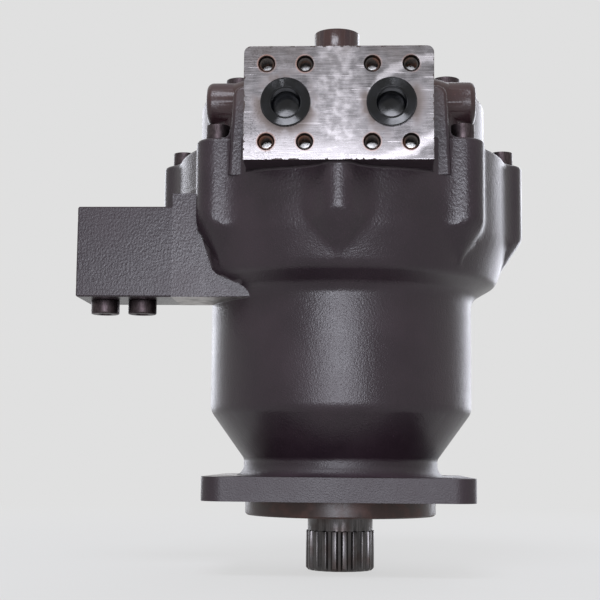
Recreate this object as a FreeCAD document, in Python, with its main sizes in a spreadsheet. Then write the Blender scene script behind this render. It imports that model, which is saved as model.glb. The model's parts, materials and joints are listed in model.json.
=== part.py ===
import FreeCAD, Part
import math
import os
import Sketcher

# Swing motor: a fixed-displacement axial piston motor that stands on its square flange with the
# splined shaft pointing down. Origin: centre of the flange's mounting face, on the shaft axis.
# +Z runs up the shaft axis, the two main ports face -Y and the brake valve block is on the -X side.

SIZES = {
    # square flange with its pilot and the neck above it
    "flange_width": 204.0,
    "flange_corner": 17.0,
    "flange_thickness": 18.0,
    "flange_bolt_spacing": 161.6,
    "flange_hole": 20.6,
    "flange_sink": 0.5,
    "pilot_diameter": 152.4,
    "pilot_depth": 13.0,
    "pilot_chamfer": 1.5,
    "neck_diameter": 155.4,
    "neck_top": 31.3,
    "neck_round": 6.0,
    "neck_fillet": 9.0,
    # barrel of the housing and the flare above it
    "barrel_diameter": 210.0,
    "barrel_bottom": 69.0,
    "barrel_top": 159.5,
    "barrel_round": 14.0,
    "flare_round": 13.0,
    "crease_diameter": 251.0,
    "crease_height": 171.5,
    "crease_round": 12.0,
    "rim_diameter": 266.0,
    "rim_height": 201.0,
    # joint between housing and valve casing, with its ring of screw bosses
    "joint_height": 241.0,
    "casing_flange": 29.0,
    "screw_circle": 262.0,
    "boss_diameter": 32.0,
    "boss_blend": 30.0,
    "nose_circle": 240.0,
    "nose_tip_diameter": 14.0,
    "nose_bottom": 175.0,
    "nose_waist_diameter": 17.0,
    "nose_waist": 182.0,
    "nose_waist_round": 25.0,
    "nose_top_diameter": 76.0,
    "nose_top": 224.0,
    "casting_round": 3.0,
    # M12 socket head screws of the casing
    "screw_diameter": 12.0,
    "screw_clearance_hole": 13.5,
    "screw_length": 45.0,
    "screw_hole_depth": 24.0,
    "screw_head_diameter": 18.0,
    "screw_head_height": 12.0,
    "screw_socket": 10.0,
    "dowel_diameter": 8.0,
    "dowel_length": 20.0,
    "dowel_circle": 246.0,
    "o_ring_circle": 228.0,
    "o_ring_section": 3.5,
    # bores inside the housing, from the shaft seal up to the brake piston
    "seal_diameter": 100.0,
    "seal_width": 12.0,
    "seal_top": 6.0,
    "snap_ring_width": 2.5,
    "snap_ring_depth": 2.3,
    "snap_ring_height": 7.0,
    "bearing_diameter": 125.0,
    "bearing_width": 33.25,
    "bearing_seat": 10.0,
    "bearing_ring": 9.0,
    "bearing_rollers": 16.0,
    "swash_floor": 62.0,
    "swash_bore_diameter": 160.0,
    "cavity_diameter": 180.0,
    "cavity_start": 72.0,
    "brake_bore_diameter": 190.0,
    "brake_bore_start": 150.0,
    "brake_step_height": 194.0,
    "brake_upper_bore": 216.0,
    # drive shaft
    "spline_tip": 54.5,
    "spline_root": 49.4,
    "spline_teeth": 20.0,
    "spline_root_gap": 2.5,
    "spline_tip_gap": 5.7,
    "shaft_end": -56.0,
    "spline_end": -25.0,
    "spline_chamfer": 2.0,
    "neck_shaft_diameter": 52.0,
    "seal_land_diameter": 65.0,
    "bearing_bore": 70.0,
    "shaft_collar_diameter": 80.0,
    "shaft_collar_width": 8.0,
    "shaft_body_diameter": 56.0,
    "rear_journal_diameter": 40.0,
    "rear_journal_length": 26.0,
    "shaft_top": 250.0,
    # swash plate, shoes and pistons
    "swash_angle": 12.0,
    "swash_pivot": 106.0,
    "swash_diameter": 159.0,
    "swash_hole": 72.0,
    "swash_spigot_bore": 100.0,
    "thrust_plate": 5.0,
    "thrust_plate_diameter": 148.0,
    "piston_circle": 104.0,
    "piston_diameter": 26.0,
    "piston_length": 80.0,
    "piston_neck_diameter": 13.0,
    "piston_neck_length": 16.0,
    "piston_ball": 20.0,
    "piston_clearance": 0.7,
    "ball_clearance": 0.2,
    "shoe_height": 14.0,
    "shoe_flange_diameter": 34.0,
    "shoe_flange": 6.0,
    "shoe_neck_diameter": 26.0,
    "shoe_collar": 5.0,
    "retainer_thickness": 5.0,
    "retainer_diameter": 140.0,
    "retainer_clearance": 0.3,
    "guide_sphere": 70.0,
    "guide_below": 16.0,
    "guide_above": 14.0,
    "guide_pin_diameter": 5.0,
    "guide_pin_circle": 63.0,
    "guide_pin_length": 22.0,
    # cylinder block, brake pack and brake piston
    "block_diameter": 148.0,
    "block_bottom": 130.0,
    "block_top": 214.0,
    "block_bore_top": 200.0,
    "block_port": 14.0,
    "spring_chamber_diameter": 70.0,
    "spring_chamber_top": 180.0,
    "center_spring_wire": 4.5,
    "friction_thickness": 3.0,
    "friction_outer": 184.0,
    "separator_thickness": 3.2,
    "separator_inner": 154.0,
    "plate_gap": 0.15,
    "brake_piston_inner": 158.0,
    "brake_piston_top": 222.0,
    "brake_chamber": 3.0,
    "brake_seal_section": 4.0,
    "slide_clearance": 0.05,
    "brake_spring_circle": 188.0,
    "brake_spring_outer": 14.0,
    "brake_spring_wire": 2.5,
    "brake_spring_length": 35.0,
    "spring_pocket": 15.0,
    # valve plate and rear bearing
    "valve_plate_gap": 0.2,
    "valve_plate": 5.0,
    "valve_plate_diameter": 144.0,
    "valve_plate_bore": 86.0,
    "kidney_width": 12.0,
    "kidney_angle": 124.0,
    "kidney_depth": 10.0,
    "rear_bearing_diameter": 80.0,
    "rear_bearing_width": 23.0,
    "rear_bearing_ring": 5.5,
    "rear_bearing_top": 247.0,
    # valve casing
    "dome_diameter": 232.0,
    "dome_height": 322.0,
    "dome_round": 9.0,
    "hub_diameter": 96.0,
    "hub_height": 346.0,
    "root_bottom_width": 166.0,
    "root_top_width": 159.0,
    "root_front": 111.0,
    "root_top": 309.0,
    "root_corner": 8.0,
    "root_edge": 3.0,
    "root_fillet": 5.0,
    "root_fillet_front": 107.0,
    "root_fillet_length": 4.5,
    "port_block_width": 136.5,
    "port_face": 150.0,
    "port_block_bottom": 243.3,
    "port_block_height": 83.4,
    "port_block_corner": 5.0,
    "port_spacing": 76.0,
    "port_height": 285.0,
    "port_bore": 25.0,
    "port_depth": 160.0,
    "port_pattern_width": 27.76,
    "port_pattern_height": 57.15,
    "port_screw_hole": 10.2,
    "port_screw_depth": 24.0,
    "countersink_diameter": 12.6,
    "port_drop_offset": 36.0,
    "port_drop_bore": 18.0,
    # plastic port plugs
    "plug_flange_diameter": 36.0,
    "plug_flange": 2.6,
    "plug_depth": 16.0,
    "plug_recess_diameter": 21.4,
    "plug_recess_depth": 13.0,
    "plug_bevel": 1.4,
    # relief valve arms
    "arm_diameter": 34.0,
    "arm_reach": 104.0,
    "arm_offset": 66.0,
    "arm_height": 306.0,
    "arm_round": 5.0,
    "relief_bore": 20.0,
    "relief_thread": 22.0,
    "relief_plug_length": 17.0,
    "relief_seat_start": 50.0,
    "relief_seat_length": 10.0,
    "relief_seat_hole": 9.0,
    "relief_poppet_diameter": 16.0,
    "relief_poppet_length": 12.0,
    "relief_stem_diameter": 7.0,
    "relief_stem_length": 8.0,
    "relief_travel": 3.0,
    "relief_spring_wire": 3.0,
    "plug_socket": 12.0,
    "plug_socket_depth": 8.0,
    # make-up check valves
    "check_spread": 86.0,
    "check_offset": -4.0,
    "check_boss_diameter": 32.0,
    "check_boss_top": 332.0,
    "check_bore": 18.0,
    "check_bore_bottom": 276.0,
    "check_poppet_bottom": 279.0,
    "check_poppet_length": 16.0,
    "check_poppet_wall": 2.5,
    "check_spring_length": 19.0,
    "check_spring_wire": 2.0,
    "check_plug_head": 23.0,
    "check_plug_height": 14.0,
    "check_passage": 12.0,
    # capped boss on top
    "cap_diameter": 35.7,
    "cap_x": -4.0,
    "cap_y": -40.0,
    "cap_top": 370.4,
    "cap_plug_diameter": 26.0,
    "cap_plug_length": 15.0,
    "cap_recess": 1.5,
    # brake valve block and the pad that carries it
    "valve_block_face": 128.4,
    "valve_block_width": 73.3,
    "valve_block_front": 80.0,
    "valve_block_depth": 56.0,
    "valve_block_bottom": 153.0,
    "valve_block_height": 69.8,
    "valve_block_edge": 1.0,
    "pad_reach": 68.4,
    "pad_step": 8.0,
    "pad_relief": 0.5,
    "block_screw_diameter": 10.0,
    "block_screw_head": 16.0,
    "block_screw_head_height": 10.0,
    "block_screw_grip": 20.0,
    "block_screw_spread": 38.0,
    "block_screw_rise": 52.0,
    "block_plug_pitch": 29.2,
    "block_plug_inset": 17.9,
    "block_plug_head": 22.0,
    "block_plug_height": 10.7,
    "block_plug_thread": 18.0,
    "block_plug_length": 15.0,
    "spool_bore": 16.0,
    "spool_length": 30.0,
    "spool_bore_depth": 57.0,
    "spool_travel": 6.0,
    "spool_waist": 10.0,
    "spool_spring_wire": 2.0,
    "orifice_depth": 47.0,
    "brake_passage": 6.0,
    "brake_passage_height": 195.5,
    "block_o_ring_circle": 12.0,
    "block_o_ring_section": 2.4,
    # case drain at the back of the barrel
    "drain_boss_diameter": 34.0,
    "drain_boss_reach": 112.0,
    "drain_height": 132.0,
    "drain_plug_diameter": 21.0,
    "drain_plug_length": 14.0,
}

doc = FreeCAD.newDocument("SwingMotor")
sheet = doc.addObject("Spreadsheet::Sheet", "Sizes")
NODES = []


class Size:
    """A length or angle that knows both its number and the sheet expression that gives it."""

    def __init__(self, value, text):
        self.value = value
        self.text = text

    def __add__(self, other):
        other = as_size(other)
        return Size(self.value + other.value, f"({self.text} + {other.text})")

    def __sub__(self, other):
        other = as_size(other)
        return Size(self.value - other.value, f"({self.text} - {other.text})")

    def __mul__(self, other):
        other = as_size(other)
        return Size(self.value * other.value, f"({self.text} * {other.text})")

    def __truediv__(self, other):
        other = as_size(other)
        return Size(self.value / other.value, f"({self.text} / {other.text})")

    def __radd__(self, other):
        return as_size(other) + self

    def __rsub__(self, other):
        return as_size(other) - self

    def __rmul__(self, other):
        return as_size(other) * self

    def __rtruediv__(self, other):
        return as_size(other) / self

    def __neg__(self):
        return self * -1


def as_size(item):
    """A plain number becomes a Size that no cell drives."""
    if isinstance(item, Size):
        return item
    number = round(float(item), 9)
    return Size(number, f"({number:.9f})")


class SizeTable:
    """Gives each named cell of the sheet as a Size."""

    def __init__(self, sizes):
        for row, (alias, number) in enumerate(sizes.items(), start=1):
            sheet.set(f"A{row}", alias.replace("_", " "))
            sheet.set(f"B{row}", str(number))
            sheet.setAlias(f"B{row}", alias)
        doc.recompute()
        self.sizes = sizes

    def __getattr__(self, alias):
        return Size(self.sizes[alias], f"Sizes.{alias}")


def cosine(angle):
    return Size(math.cos(math.radians(angle.value)), f"cos({angle.text})")


def sine(angle):
    return Size(math.sin(math.radians(angle.value)), f"sin({angle.text})")


def root(size):
    return Size(math.sqrt(size.value), f"sqrt({size.text})")


def polar(radius, degrees):
    """A place in the XY plane, counted from the front (-Y) towards +X."""
    turn = math.radians(degrees)
    return radius * math.sin(turn), radius * -math.cos(turn)


s = SizeTable(SIZES)

X_AXIS = FreeCAD.Vector(1, 0, 0)
Y_AXIS = FreeCAD.Vector(0, 1, 0)
Z_AXIS = FreeCAD.Vector(0, 0, 1)
DIRECTIONS = {
    "Z": FreeCAD.Rotation(),
    "-Z": FreeCAD.Rotation(X_AXIS, 180),
    "X": FreeCAD.Rotation(Y_AXIS, 90),
    "-X": FreeCAD.Rotation(Y_AXIS, -90),
    "Y": FreeCAD.Rotation(X_AXIS, -90),
    "-Y": FreeCAD.Rotation(X_AXIS, 90),
}


def bind(obj, prop, amount):
    """Ties a property of an object to the sheet."""
    amount = as_size(amount)
    setattr(obj, prop, amount.value)
    obj.setExpression(prop, amount.text)


def put(obj, x=0, y=0, z=0, along="Z"):
    """Places an object, with its own Z axis pointing along the named direction."""
    place = [as_size(item) for item in (x, y, z)]
    obj.Placement = FreeCAD.Placement(FreeCAD.Vector(*[item.value for item in place]), DIRECTIONS[along])
    for letter, item in zip("xyz", place):
        obj.setExpression(f".Placement.Base.{letter}", item.text)
    return obj


def tilt(obj):
    """Tilts an object modelled about the swash pivot by the swash angle."""
    obj.Placement = FreeCAD.Placement(
        FreeCAD.Vector(0, 0, s.swash_pivot.value), FreeCAD.Rotation(X_AXIS, s.swash_angle.value)
    )
    obj.setExpression(".Placement.Base.z", s.swash_pivot.text)
    obj.setExpression(".Placement.Rotation.Angle", s.swash_angle.text)
    return obj


def cylinder(name, diameter, height, x=0, y=0, z=0, along="Z"):
    obj = doc.addObject("Part::Cylinder", name)
    bind(obj, "Radius", diameter / 2)
    bind(obj, "Height", height)
    return put(obj, x, y, z, along)


def cone(name, bottom, top, height, x=0, y=0, z=0, along="Z"):
    obj = doc.addObject("Part::Cone", name)
    bind(obj, "Radius1", bottom / 2)
    bind(obj, "Radius2", top / 2)
    bind(obj, "Height", height)
    return put(obj, x, y, z, along)


def sphere(name, diameter, x=0, y=0, z=0):
    obj = doc.addObject("Part::Sphere", name)
    bind(obj, "Radius", diameter / 2)
    return put(obj, x, y, z)


def torus(name, circle, section, x=0, y=0, z=0, along="Z"):
    obj = doc.addObject("Part::Torus", name)
    bind(obj, "Radius1", circle / 2)
    bind(obj, "Radius2", section / 2)
    return put(obj, x, y, z, along)


def hexagon(name, across_flats, height, x=0, y=0, z=0, along="Z"):
    obj = doc.addObject("Part::Prism", name)
    obj.Polygon = 6
    bind(obj, "Circumradius", across_flats / 2 / round(math.cos(math.radians(30)), 9))
    bind(obj, "Height", height)
    return put(obj, x, y, z, along)


def box(name, length, width, height, x=0, y=0, z=0):
    """A block whose low corner is at x, y, z."""
    obj = doc.addObject("Part::Box", name)
    bind(obj, "Length", length)
    bind(obj, "Width", width)
    bind(obj, "Height", height)
    return put(obj, x, y, z)


def fuse(name, *shapes):
    obj = doc.addObject("Part::MultiFuse", name)
    obj.Shapes = list(shapes)
    return obj


def cut(name, base, *tools):
    tool = tools[0] if len(tools) == 1 else fuse(f"{name}_tools", *tools)
    obj = doc.addObject("Part::Cut", name)
    obj.Base = base
    obj.Tool = tool
    return obj


def common(name, first, second):
    obj = doc.addObject("Part::Common", name)
    obj.Base = first
    obj.Tool = second
    return obj


def group(name, members):
    obj = doc.addObject("Part::Compound", name)
    obj.Links = list(members)
    return obj


def ring(name, outer, inner, height, x=0, y=0, z=0, along="Z"):
    full = cylinder(f"{name}_outer", outer, height, x, y, z, along)
    hole = cylinder(f"{name}_inner", inner, height, x, y, z, along)
    return cut(name, full, hole)


def node(obj, label):
    """Names a finished sub-part; its name becomes its file."""
    obj.Label = label
    NODES.append(obj)
    return obj


def plane(body, role):
    return next(item for item in body.Origin.OriginFeatures if item.Role == role)


def direction(start, end):
    """The unit step from one place to another, and the distance between them."""
    across = end[0] - start[0]
    up = end[1] - start[1]
    length = root(across * across + up * up)
    return across / length, up / length


def corner_arc(before, corner, after, radius):
    """Start, middle and end of the arc that rounds the corner between two lines."""
    back = direction(corner, before)
    ahead = direction(corner, after)
    turn = back[0] * ahead[0] + back[1] * ahead[1]
    reach = radius * root((1 + turn) / (1 - turn))
    start = (corner[0] + back[0] * reach, corner[1] + back[1] * reach)
    end = (corner[0] + ahead[0] * reach, corner[1] + ahead[1] * reach)
    inward = direction((as_size(0), as_size(0)), (back[0] + ahead[0], back[1] + ahead[1]))
    depth = math.sqrt(reach.value ** 2 + radius.value ** 2) - radius.value
    middle = FreeCAD.Vector(corner[0].value + inward[0].value * depth,
                            corner[1].value + inward[1].value * depth, 0)
    return start, middle, end


def outline(body, name, role, points):
    """A closed sketch through the given places, tied to the sheet; a third value rounds a corner."""
    sketch = body.newObject("Sketcher::SketchObject", name)
    sketch.AttachmentSupport = [(plane(body, role), "")]
    sketch.MapMode = "FlatFace"
    corners = [(as_size(point[0]), as_size(point[1])) for point in points]
    stops = []
    for index, (corner, point) in enumerate(zip(corners, points)):
        if len(point) == 2:
            stops.append((corner, None, None))
            continue
        radius = as_size(point[2])
        after = corners[(index + 1) % len(corners)]
        start, middle, end = corner_arc(corners[index - 1], corner, after, radius)
        stops.append((start, middle, radius))
        stops.append((end, None, None))
    ends = []
    for index, (place, middle, radius) in enumerate(stops):
        following = stops[(index + 1) % len(stops)][0]
        first = FreeCAD.Vector(place[0].value, place[1].value, 0)
        last = FreeCAD.Vector(following[0].value, following[1].value, 0)
        if middle is None:
            sketch.addGeometry(Part.LineSegment(first, last), False)
            ends.append((1, 2))
            continue
        sketch.addGeometry(Part.Arc(first, middle, last), False)
        left_turn = (middle - first).cross(last - middle).z > 0
        ends.append((1, 2) if left_turn else (2, 1))
    for index, (place, _, radius) in enumerate(stops):
        following = (index + 1) % len(stops)
        sketch.addConstraint(
            Sketcher.Constraint("Coincident", index, ends[index][1], following, ends[following][0])
        )
        for kind, amount in (("DistanceX", place[0]), ("DistanceY", place[1])):
            number = sketch.addConstraint(
                Sketcher.Constraint(kind, -1, 1, index, ends[index][0], amount.value)
            )
            sketch.setExpression(f"Constraints[{number}]", amount.text)
        if radius is not None:
            number = sketch.addConstraint(Sketcher.Constraint("Radius", index, radius.value))
            sketch.setExpression(f"Constraints[{number}]", radius.text)
    return sketch


def round_edges(body, name, radius, chosen, kind="Fillet"):
    """Rounds or bevels the edges of a body that a test picks out."""
    doc.recompute()
    edges = [f"Edge{index}" for index, edge in enumerate(body.Shape.Edges, start=1) if chosen(edge)]
    if not edges:
        raise RuntimeError(f"no edge found for {name}")
    feature = body.newObject(f"PartDesign::{kind}", name)
    feature.Base = (body.Tip if body.Tip is not feature else feature.BaseFeature, edges)
    bind(feature, "Radius" if kind == "Fillet" else "Size", radius)
    body.Tip = feature
    return body


def turned(name, points):
    """A body of revolution about Z from (diameter, height) places; a third value rounds a corner."""
    body = doc.addObject("PartDesign::Body", name)
    places = [(point[0] / 2, *point[1:]) for point in points]
    sketch = outline(body, f"{name}_profile", "XZ_Plane", places)
    feature = body.newObject("PartDesign::Revolution", f"{name}_turn")
    feature.Profile = sketch
    feature.ReferenceAxis = (sketch, ["V_Axis"])
    feature.Angle = 360
    body.Tip = feature
    return body


def rounded_box(name, length, width, height, corner, x, y, z):
    """A block centred on x with its upright edges rounded; y and z are its low faces."""
    body = doc.addObject("PartDesign::Body", name)
    half = length / 2
    sketch = outline(
        body, f"{name}_outline", "XY_Plane", [(-half, 0), (half, 0), (half, width), (-half, width)]
    )
    feature = body.newObject("PartDesign::Pad", f"{name}_pad")
    feature.Profile = sketch
    bind(feature, "Length", height)
    body.Tip = feature
    round_edges(body, f"{name}_corners", corner, upright)
    return put(body, x, y, z)


def upright(edge):
    """Picks straight edges that run along Z."""
    if not isinstance(edge.Curve, (Part.Line, Part.LineSegment)):
        return False
    return abs(abs(edge.tangentAt(edge.FirstParameter).z) - 1) < 1e-6


def wrapped(name, base):
    """Puts a boolean result into a body, so that its edges can be rounded."""
    body = doc.addObject("PartDesign::Body", name)
    body.BaseFeature = base
    doc.recompute()
    return body


# shared heights and places
casing_top = s.joint_height + s.casing_flange
casing_middle = s.joint_height + s.casing_flange / 2
boss_angles = [45 * turn for turn in range(8)]
screw_angles = [turn for turn in boss_angles if turn != 0]
hub_bottom = s.block_top + s.valve_plate_gap + s.valve_plate
half_port = s.port_spacing / 2
arm_end = s.arm_reach
check_places = [("left", -s.check_spread), ("right", s.check_spread)]


def scalloped_ring(name, bottom, height):
    """The round rim with its eight screw bosses, the same on housing and casing."""
    disc = cylinder(f"{name}_disc", s.rim_diameter, height, z=bottom)
    bosses = [
        cylinder(f"{name}_boss_{turn}", s.boss_diameter, height, *polar(s.screw_circle / 2, turn), bottom)
        for turn in boss_angles
    ]
    body = wrapped(f"{name}_body", fuse(f"{name}_fused", disc, *bosses))

    def blend_edge(edge):
        if not upright(edge):
            return False
        start = edge.Vertexes[0].Point
        return abs(math.hypot(start.x, start.y) - s.rim_diameter.value / 2) < 1e-3

    return round_edges(body, f"{name}_blend", s.boss_blend, blend_edge)


def make_housing():
    """Cast housing: square flange, pilot, neck, barrel, flare, rim with bosses and valve block pad."""
    foot_height = s.flange_thickness - s.flange_sink
    shell = turned(
        "housing_shell",
        [
            (0, -s.pilot_depth),
            (s.pilot_diameter - 2 * s.pilot_chamfer, -s.pilot_depth),
            (s.pilot_diameter, -s.pilot_depth + s.pilot_chamfer),
            (s.pilot_diameter, s.flange_thickness / 2),
            (s.neck_diameter + 3 * s.neck_fillet, s.flange_thickness / 2),
            (s.neck_diameter + 3 * s.neck_fillet, foot_height),
            (s.neck_diameter, foot_height, s.neck_fillet),
            (s.neck_diameter, s.neck_top, s.neck_round),
            (s.barrel_diameter, s.barrel_bottom, s.barrel_round),
            (s.barrel_diameter, s.barrel_top, s.flare_round),
            (s.crease_diameter, s.crease_height, s.crease_round),
            (s.rim_diameter, s.rim_height),
            (s.rim_diameter, s.joint_height),
            (0, s.joint_height),
        ],
    )
    flange = rounded_box(
        "housing_flange", s.flange_width, s.flange_width, s.flange_thickness, s.flange_corner,
        0, -s.flange_width / 2, 0,
    )
    rim = scalloped_ring("housing_rim", s.nose_bottom, s.joint_height - s.nose_bottom)
    noses = []
    for turn in boss_angles:
        nose = turned(
            f"housing_nose_{turn}",
            [
                (0, s.nose_bottom),
                (s.nose_tip_diameter, s.nose_bottom),
                (s.nose_waist_diameter, s.nose_waist, s.nose_waist_round),
                (s.nose_top_diameter, s.nose_top),
                (s.nose_top_diameter, s.joint_height),
                (0, s.joint_height),
            ],
        )
        noses.append(put(nose, *polar(s.nose_circle / 2, turn)))
    bosses = common("housing_bosses", rim, fuse("housing_noses", *noses))
    pad = box(
        "housing_pad", s.pad_reach, s.valve_block_depth,
        s.joint_height - s.pad_step - s.valve_block_bottom,
        -s.valve_block_face, -s.valve_block_front, s.valve_block_bottom,
    )
    drain_boss = cylinder(
        "housing_drain_boss", s.drain_boss_diameter, s.drain_boss_reach - s.cavity_diameter / 2,
        0, s.cavity_diameter / 2, s.drain_height, "Y",
    )
    casting = fuse("housing_casting", shell, flange, bosses, pad, drain_boss)

    snap_top = s.seal_top - s.seal_width
    bearing_top = s.bearing_seat + s.bearing_width
    cavity = turned(
        "housing_cavity",
        [
            (0, -s.pilot_depth - 1),
            (s.seal_diameter, -s.pilot_depth - 1),
            (s.seal_diameter, snap_top - s.snap_ring_width),
            (s.seal_diameter + 2 * s.snap_ring_depth, snap_top - s.snap_ring_width),
            (s.seal_diameter + 2 * s.snap_ring_depth, snap_top),
            (s.seal_diameter, snap_top),
            (s.seal_diameter, s.seal_top),
            (s.seal_diameter - s.seal_width, s.seal_top),
            (s.seal_diameter - s.seal_width, s.bearing_seat),
            (s.bearing_diameter, s.bearing_seat),
            (s.bearing_diameter, s.swash_floor),
            (s.swash_bore_diameter, s.swash_floor),
            (s.cavity_diameter, s.cavity_start),
            (s.cavity_diameter, s.brake_bore_start),
            (s.brake_bore_diameter, s.brake_bore_start),
            (s.brake_bore_diameter, s.brake_step_height),
            (s.brake_upper_bore, s.brake_step_height),
            (s.brake_upper_bore, s.joint_height + 1),
            (0, s.joint_height + 1),
        ],
    )
    half = s.flange_bolt_spacing / 2
    flange_holes = [
        cylinder(f"flange_hole_{across}_{back}", s.flange_hole, s.flange_thickness + 2,
                 half * across, half * back, -1)
        for across in (-1, 1) for back in (-1, 1)
    ]
    screw_holes = [
        cylinder(f"housing_screw_hole_{turn}", s.screw_diameter, s.screw_hole_depth + 1,
                 *polar(s.screw_circle / 2, turn), s.joint_height - s.screw_hole_depth)
        for turn in screw_angles
    ]
    groove = ring(
        "housing_o_ring_groove", s.o_ring_circle + s.o_ring_section * 1.3,
        s.o_ring_circle - s.o_ring_section * 1.3, s.o_ring_section + 1,
        z=s.joint_height - s.o_ring_section,
    )
    passage = cylinder(
        "housing_brake_passage", s.brake_passage, s.valve_block_face - s.brake_bore_diameter / 2 + 8,
        -s.valve_block_face - 1, valve_block_middle(), s.brake_passage_height, "X",
    )
    pad_holes = [
        cylinder(f"housing_pad_hole_{across}_{up}", s.block_screw_diameter, s.block_screw_grip,
                 -s.valve_block_face - 1, *block_screw_place(across, up), "X")
        for across in (-1, 1) for up in (-1, 1)
    ]
    drain = cylinder("housing_drain_hole", s.drain_plug_diameter, s.drain_boss_reach,
                     0, s.cavity_diameter / 2 - 8, s.drain_height, "Y")
    block_room = box(
        "housing_block_room", s.valve_block_width, s.valve_block_depth + 2 * s.pad_relief,
        s.valve_block_height + 2 * s.pad_relief, -s.valve_block_face - s.valve_block_width,
        -s.valve_block_front - s.pad_relief, s.valve_block_bottom - s.pad_relief,
    )
    housing = cut("housing_cut", casting, cavity, groove, passage, drain, block_room,
                  *flange_holes, *screw_holes, *pad_holes, *dowels("housing_dowel_hole"))
    node(housing, "housing")


def valve_block_middle():
    """The valve block's middle plane across its depth."""
    return -s.valve_block_front + s.valve_block_depth / 2


def block_screw_place(across, up):
    middle_height = s.valve_block_bottom + s.valve_block_height / 2
    return (valve_block_middle() + s.block_screw_spread / 2 * across,
            middle_height + s.block_screw_rise / 2 * up)


def dowels(name):
    """Two dowels across the joint between housing and casing."""
    return [
        cylinder(f"{name}_{turn}", s.dowel_diameter, s.dowel_length,
                 *polar(s.dowel_circle / 2, turn), s.joint_height - s.dowel_length / 2)
        for turn in (112.5, 292.5)
    ]


def make_valve_casing():
    """Cast valve casing: flange with bosses, round body, port block, relief arms and valve bosses."""
    flange = scalloped_ring("casing_rim", s.joint_height, s.casing_flange)

    def top_edge(edge):
        box_of_edge = edge.BoundBox
        return abs(box_of_edge.ZMin - casing_top.value) < 1e-4 and box_of_edge.ZLength < 1e-4

    round_edges(flange, "casing_rim_round", s.casting_round, top_edge)
    dome = turned(
        "casing_dome",
        [
            (0, s.joint_height),
            (s.dome_diameter, s.joint_height),
            (s.dome_diameter, s.dome_height, s.dome_round),
            (s.hub_diameter, s.dome_height, s.dome_round),
            (s.hub_diameter, s.hub_height, s.casting_round),
            (0, s.hub_height),
        ],
    )
    root_web = make_root_web()
    port_block = make_port_block()
    arm = turned(
        "casing_arm",
        [
            (0, 0),
            (s.arm_diameter, 0, s.arm_round),
            (s.arm_diameter, arm_end * 2, s.arm_round),
            (0, arm_end * 2),
        ],
    )
    put(arm, -arm_end, -s.arm_offset, s.arm_height, "X")
    bosses = [
        cylinder(f"casing_check_boss_{side}", s.check_boss_diameter, s.check_boss_top - casing_middle,
                 x, -s.check_offset, casing_middle)
        for side, x in check_places
    ]
    cap_boss = cylinder("casing_cap_boss", s.cap_diameter, s.cap_top - casing_middle,
                        s.cap_x, s.cap_y, casing_middle)
    spigot = cylinder("casing_spigot", s.block_diameter, s.joint_height - hub_bottom + 5, z=hub_bottom)
    casting = fuse("casing_casting", flange, dome, port_block, arm, cap_boss, spigot, *root_web, *bosses)

    bearing_pocket = turned(
        "casing_bearing_pocket",
        [
            (0, hub_bottom - 1),
            (s.rear_bearing_diameter, hub_bottom - 1),
            (s.rear_bearing_diameter, s.rear_bearing_top),
            (s.rear_bearing_diameter - 4 * s.rear_bearing_ring + 6, s.rear_bearing_top),
            (s.rear_bearing_diameter - 4 * s.rear_bearing_ring + 6, s.shaft_top + 3),
            (0, s.shaft_top + 3),
        ],
    )
    screw_holes = [
        cylinder(f"casing_screw_hole_{turn}", s.screw_clearance_hole, s.casing_flange + 2,
                 *polar(s.screw_circle / 2, turn), s.joint_height - 1)
        for turn in screw_angles
    ]
    tools = [bearing_pocket, *screw_holes, *dowels("casing_dowel_hole")]
    for side, x in (("left", -half_port), ("right", half_port)):
        tools += port_cuts(side, x)
    for side, x, along in (("left", -1, "X"), ("right", 1, "-X")):
        tools += relief_cuts(side, x, along)
    for side, x in check_places:
        tools += check_cuts(side, x)
    tools.append(cylinder("casing_cap_hole", s.cap_plug_diameter, s.cap_plug_length + s.cap_recess + 1,
                          s.cap_x, s.cap_y, s.cap_top - s.cap_plug_length - s.cap_recess))
    node(cut("casing_cut", casting, *tools), "valve_casing")


def make_root_web():
    """Tapered web behind the port block, with the fillets that run out onto the flange."""
    low = s.root_bottom_width / 2
    high = s.root_top_width / 2
    body = doc.addObject("PartDesign::Body", "casing_root")
    sketch = outline(
        body, "root_outline", "XZ_Plane",
        [
            (-low, s.joint_height),
            (low, s.joint_height),
            (high, s.root_top, s.root_corner),
            (-high, s.root_top, s.root_corner),
        ],
    )
    feature = body.newObject("PartDesign::Pad", "root_pad")
    feature.Profile = sketch
    bind(feature, "Length", s.root_front)
    body.Tip = feature

    def front_edge(edge):
        at_front = edge.BoundBox.YMax < -s.root_front.value + 1e-3
        return at_front and edge.BoundBox.ZMax > s.joint_height.value + 1e-3

    round_edges(body, "root_edges", s.root_edge, front_edge)
    shapes = [body]
    for side, sign in (("left", -1), ("right", 1)):
        inner = (low - s.root_fillet / 2) * sign
        face = (low - 0.5) * sign
        outer = face + (s.root_fillet + 1) * sign
        fillet = doc.addObject("PartDesign::Body", f"root_fillet_{side}")
        profile = outline(
            fillet, f"root_fillet_outline_{side}", "XZ_Plane",
            [
                (inner, casing_top - 1),
                (outer, casing_top - 1),
                (outer, casing_top),
                (face, casing_top, s.root_fillet),
                (face, casing_top + s.root_fillet + 1),
                (inner, casing_top + s.root_fillet + 1),
            ],
        )
        bar = fillet.newObject("PartDesign::Pad", f"root_fillet_pad_{side}")
        bar.Profile = profile
        bind(bar, "Length", s.root_fillet_length)
        fillet.Tip = bar
        shapes.append(put(fillet, 0, -s.root_fillet_front + s.root_fillet_length, 0))
    return shapes


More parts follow.
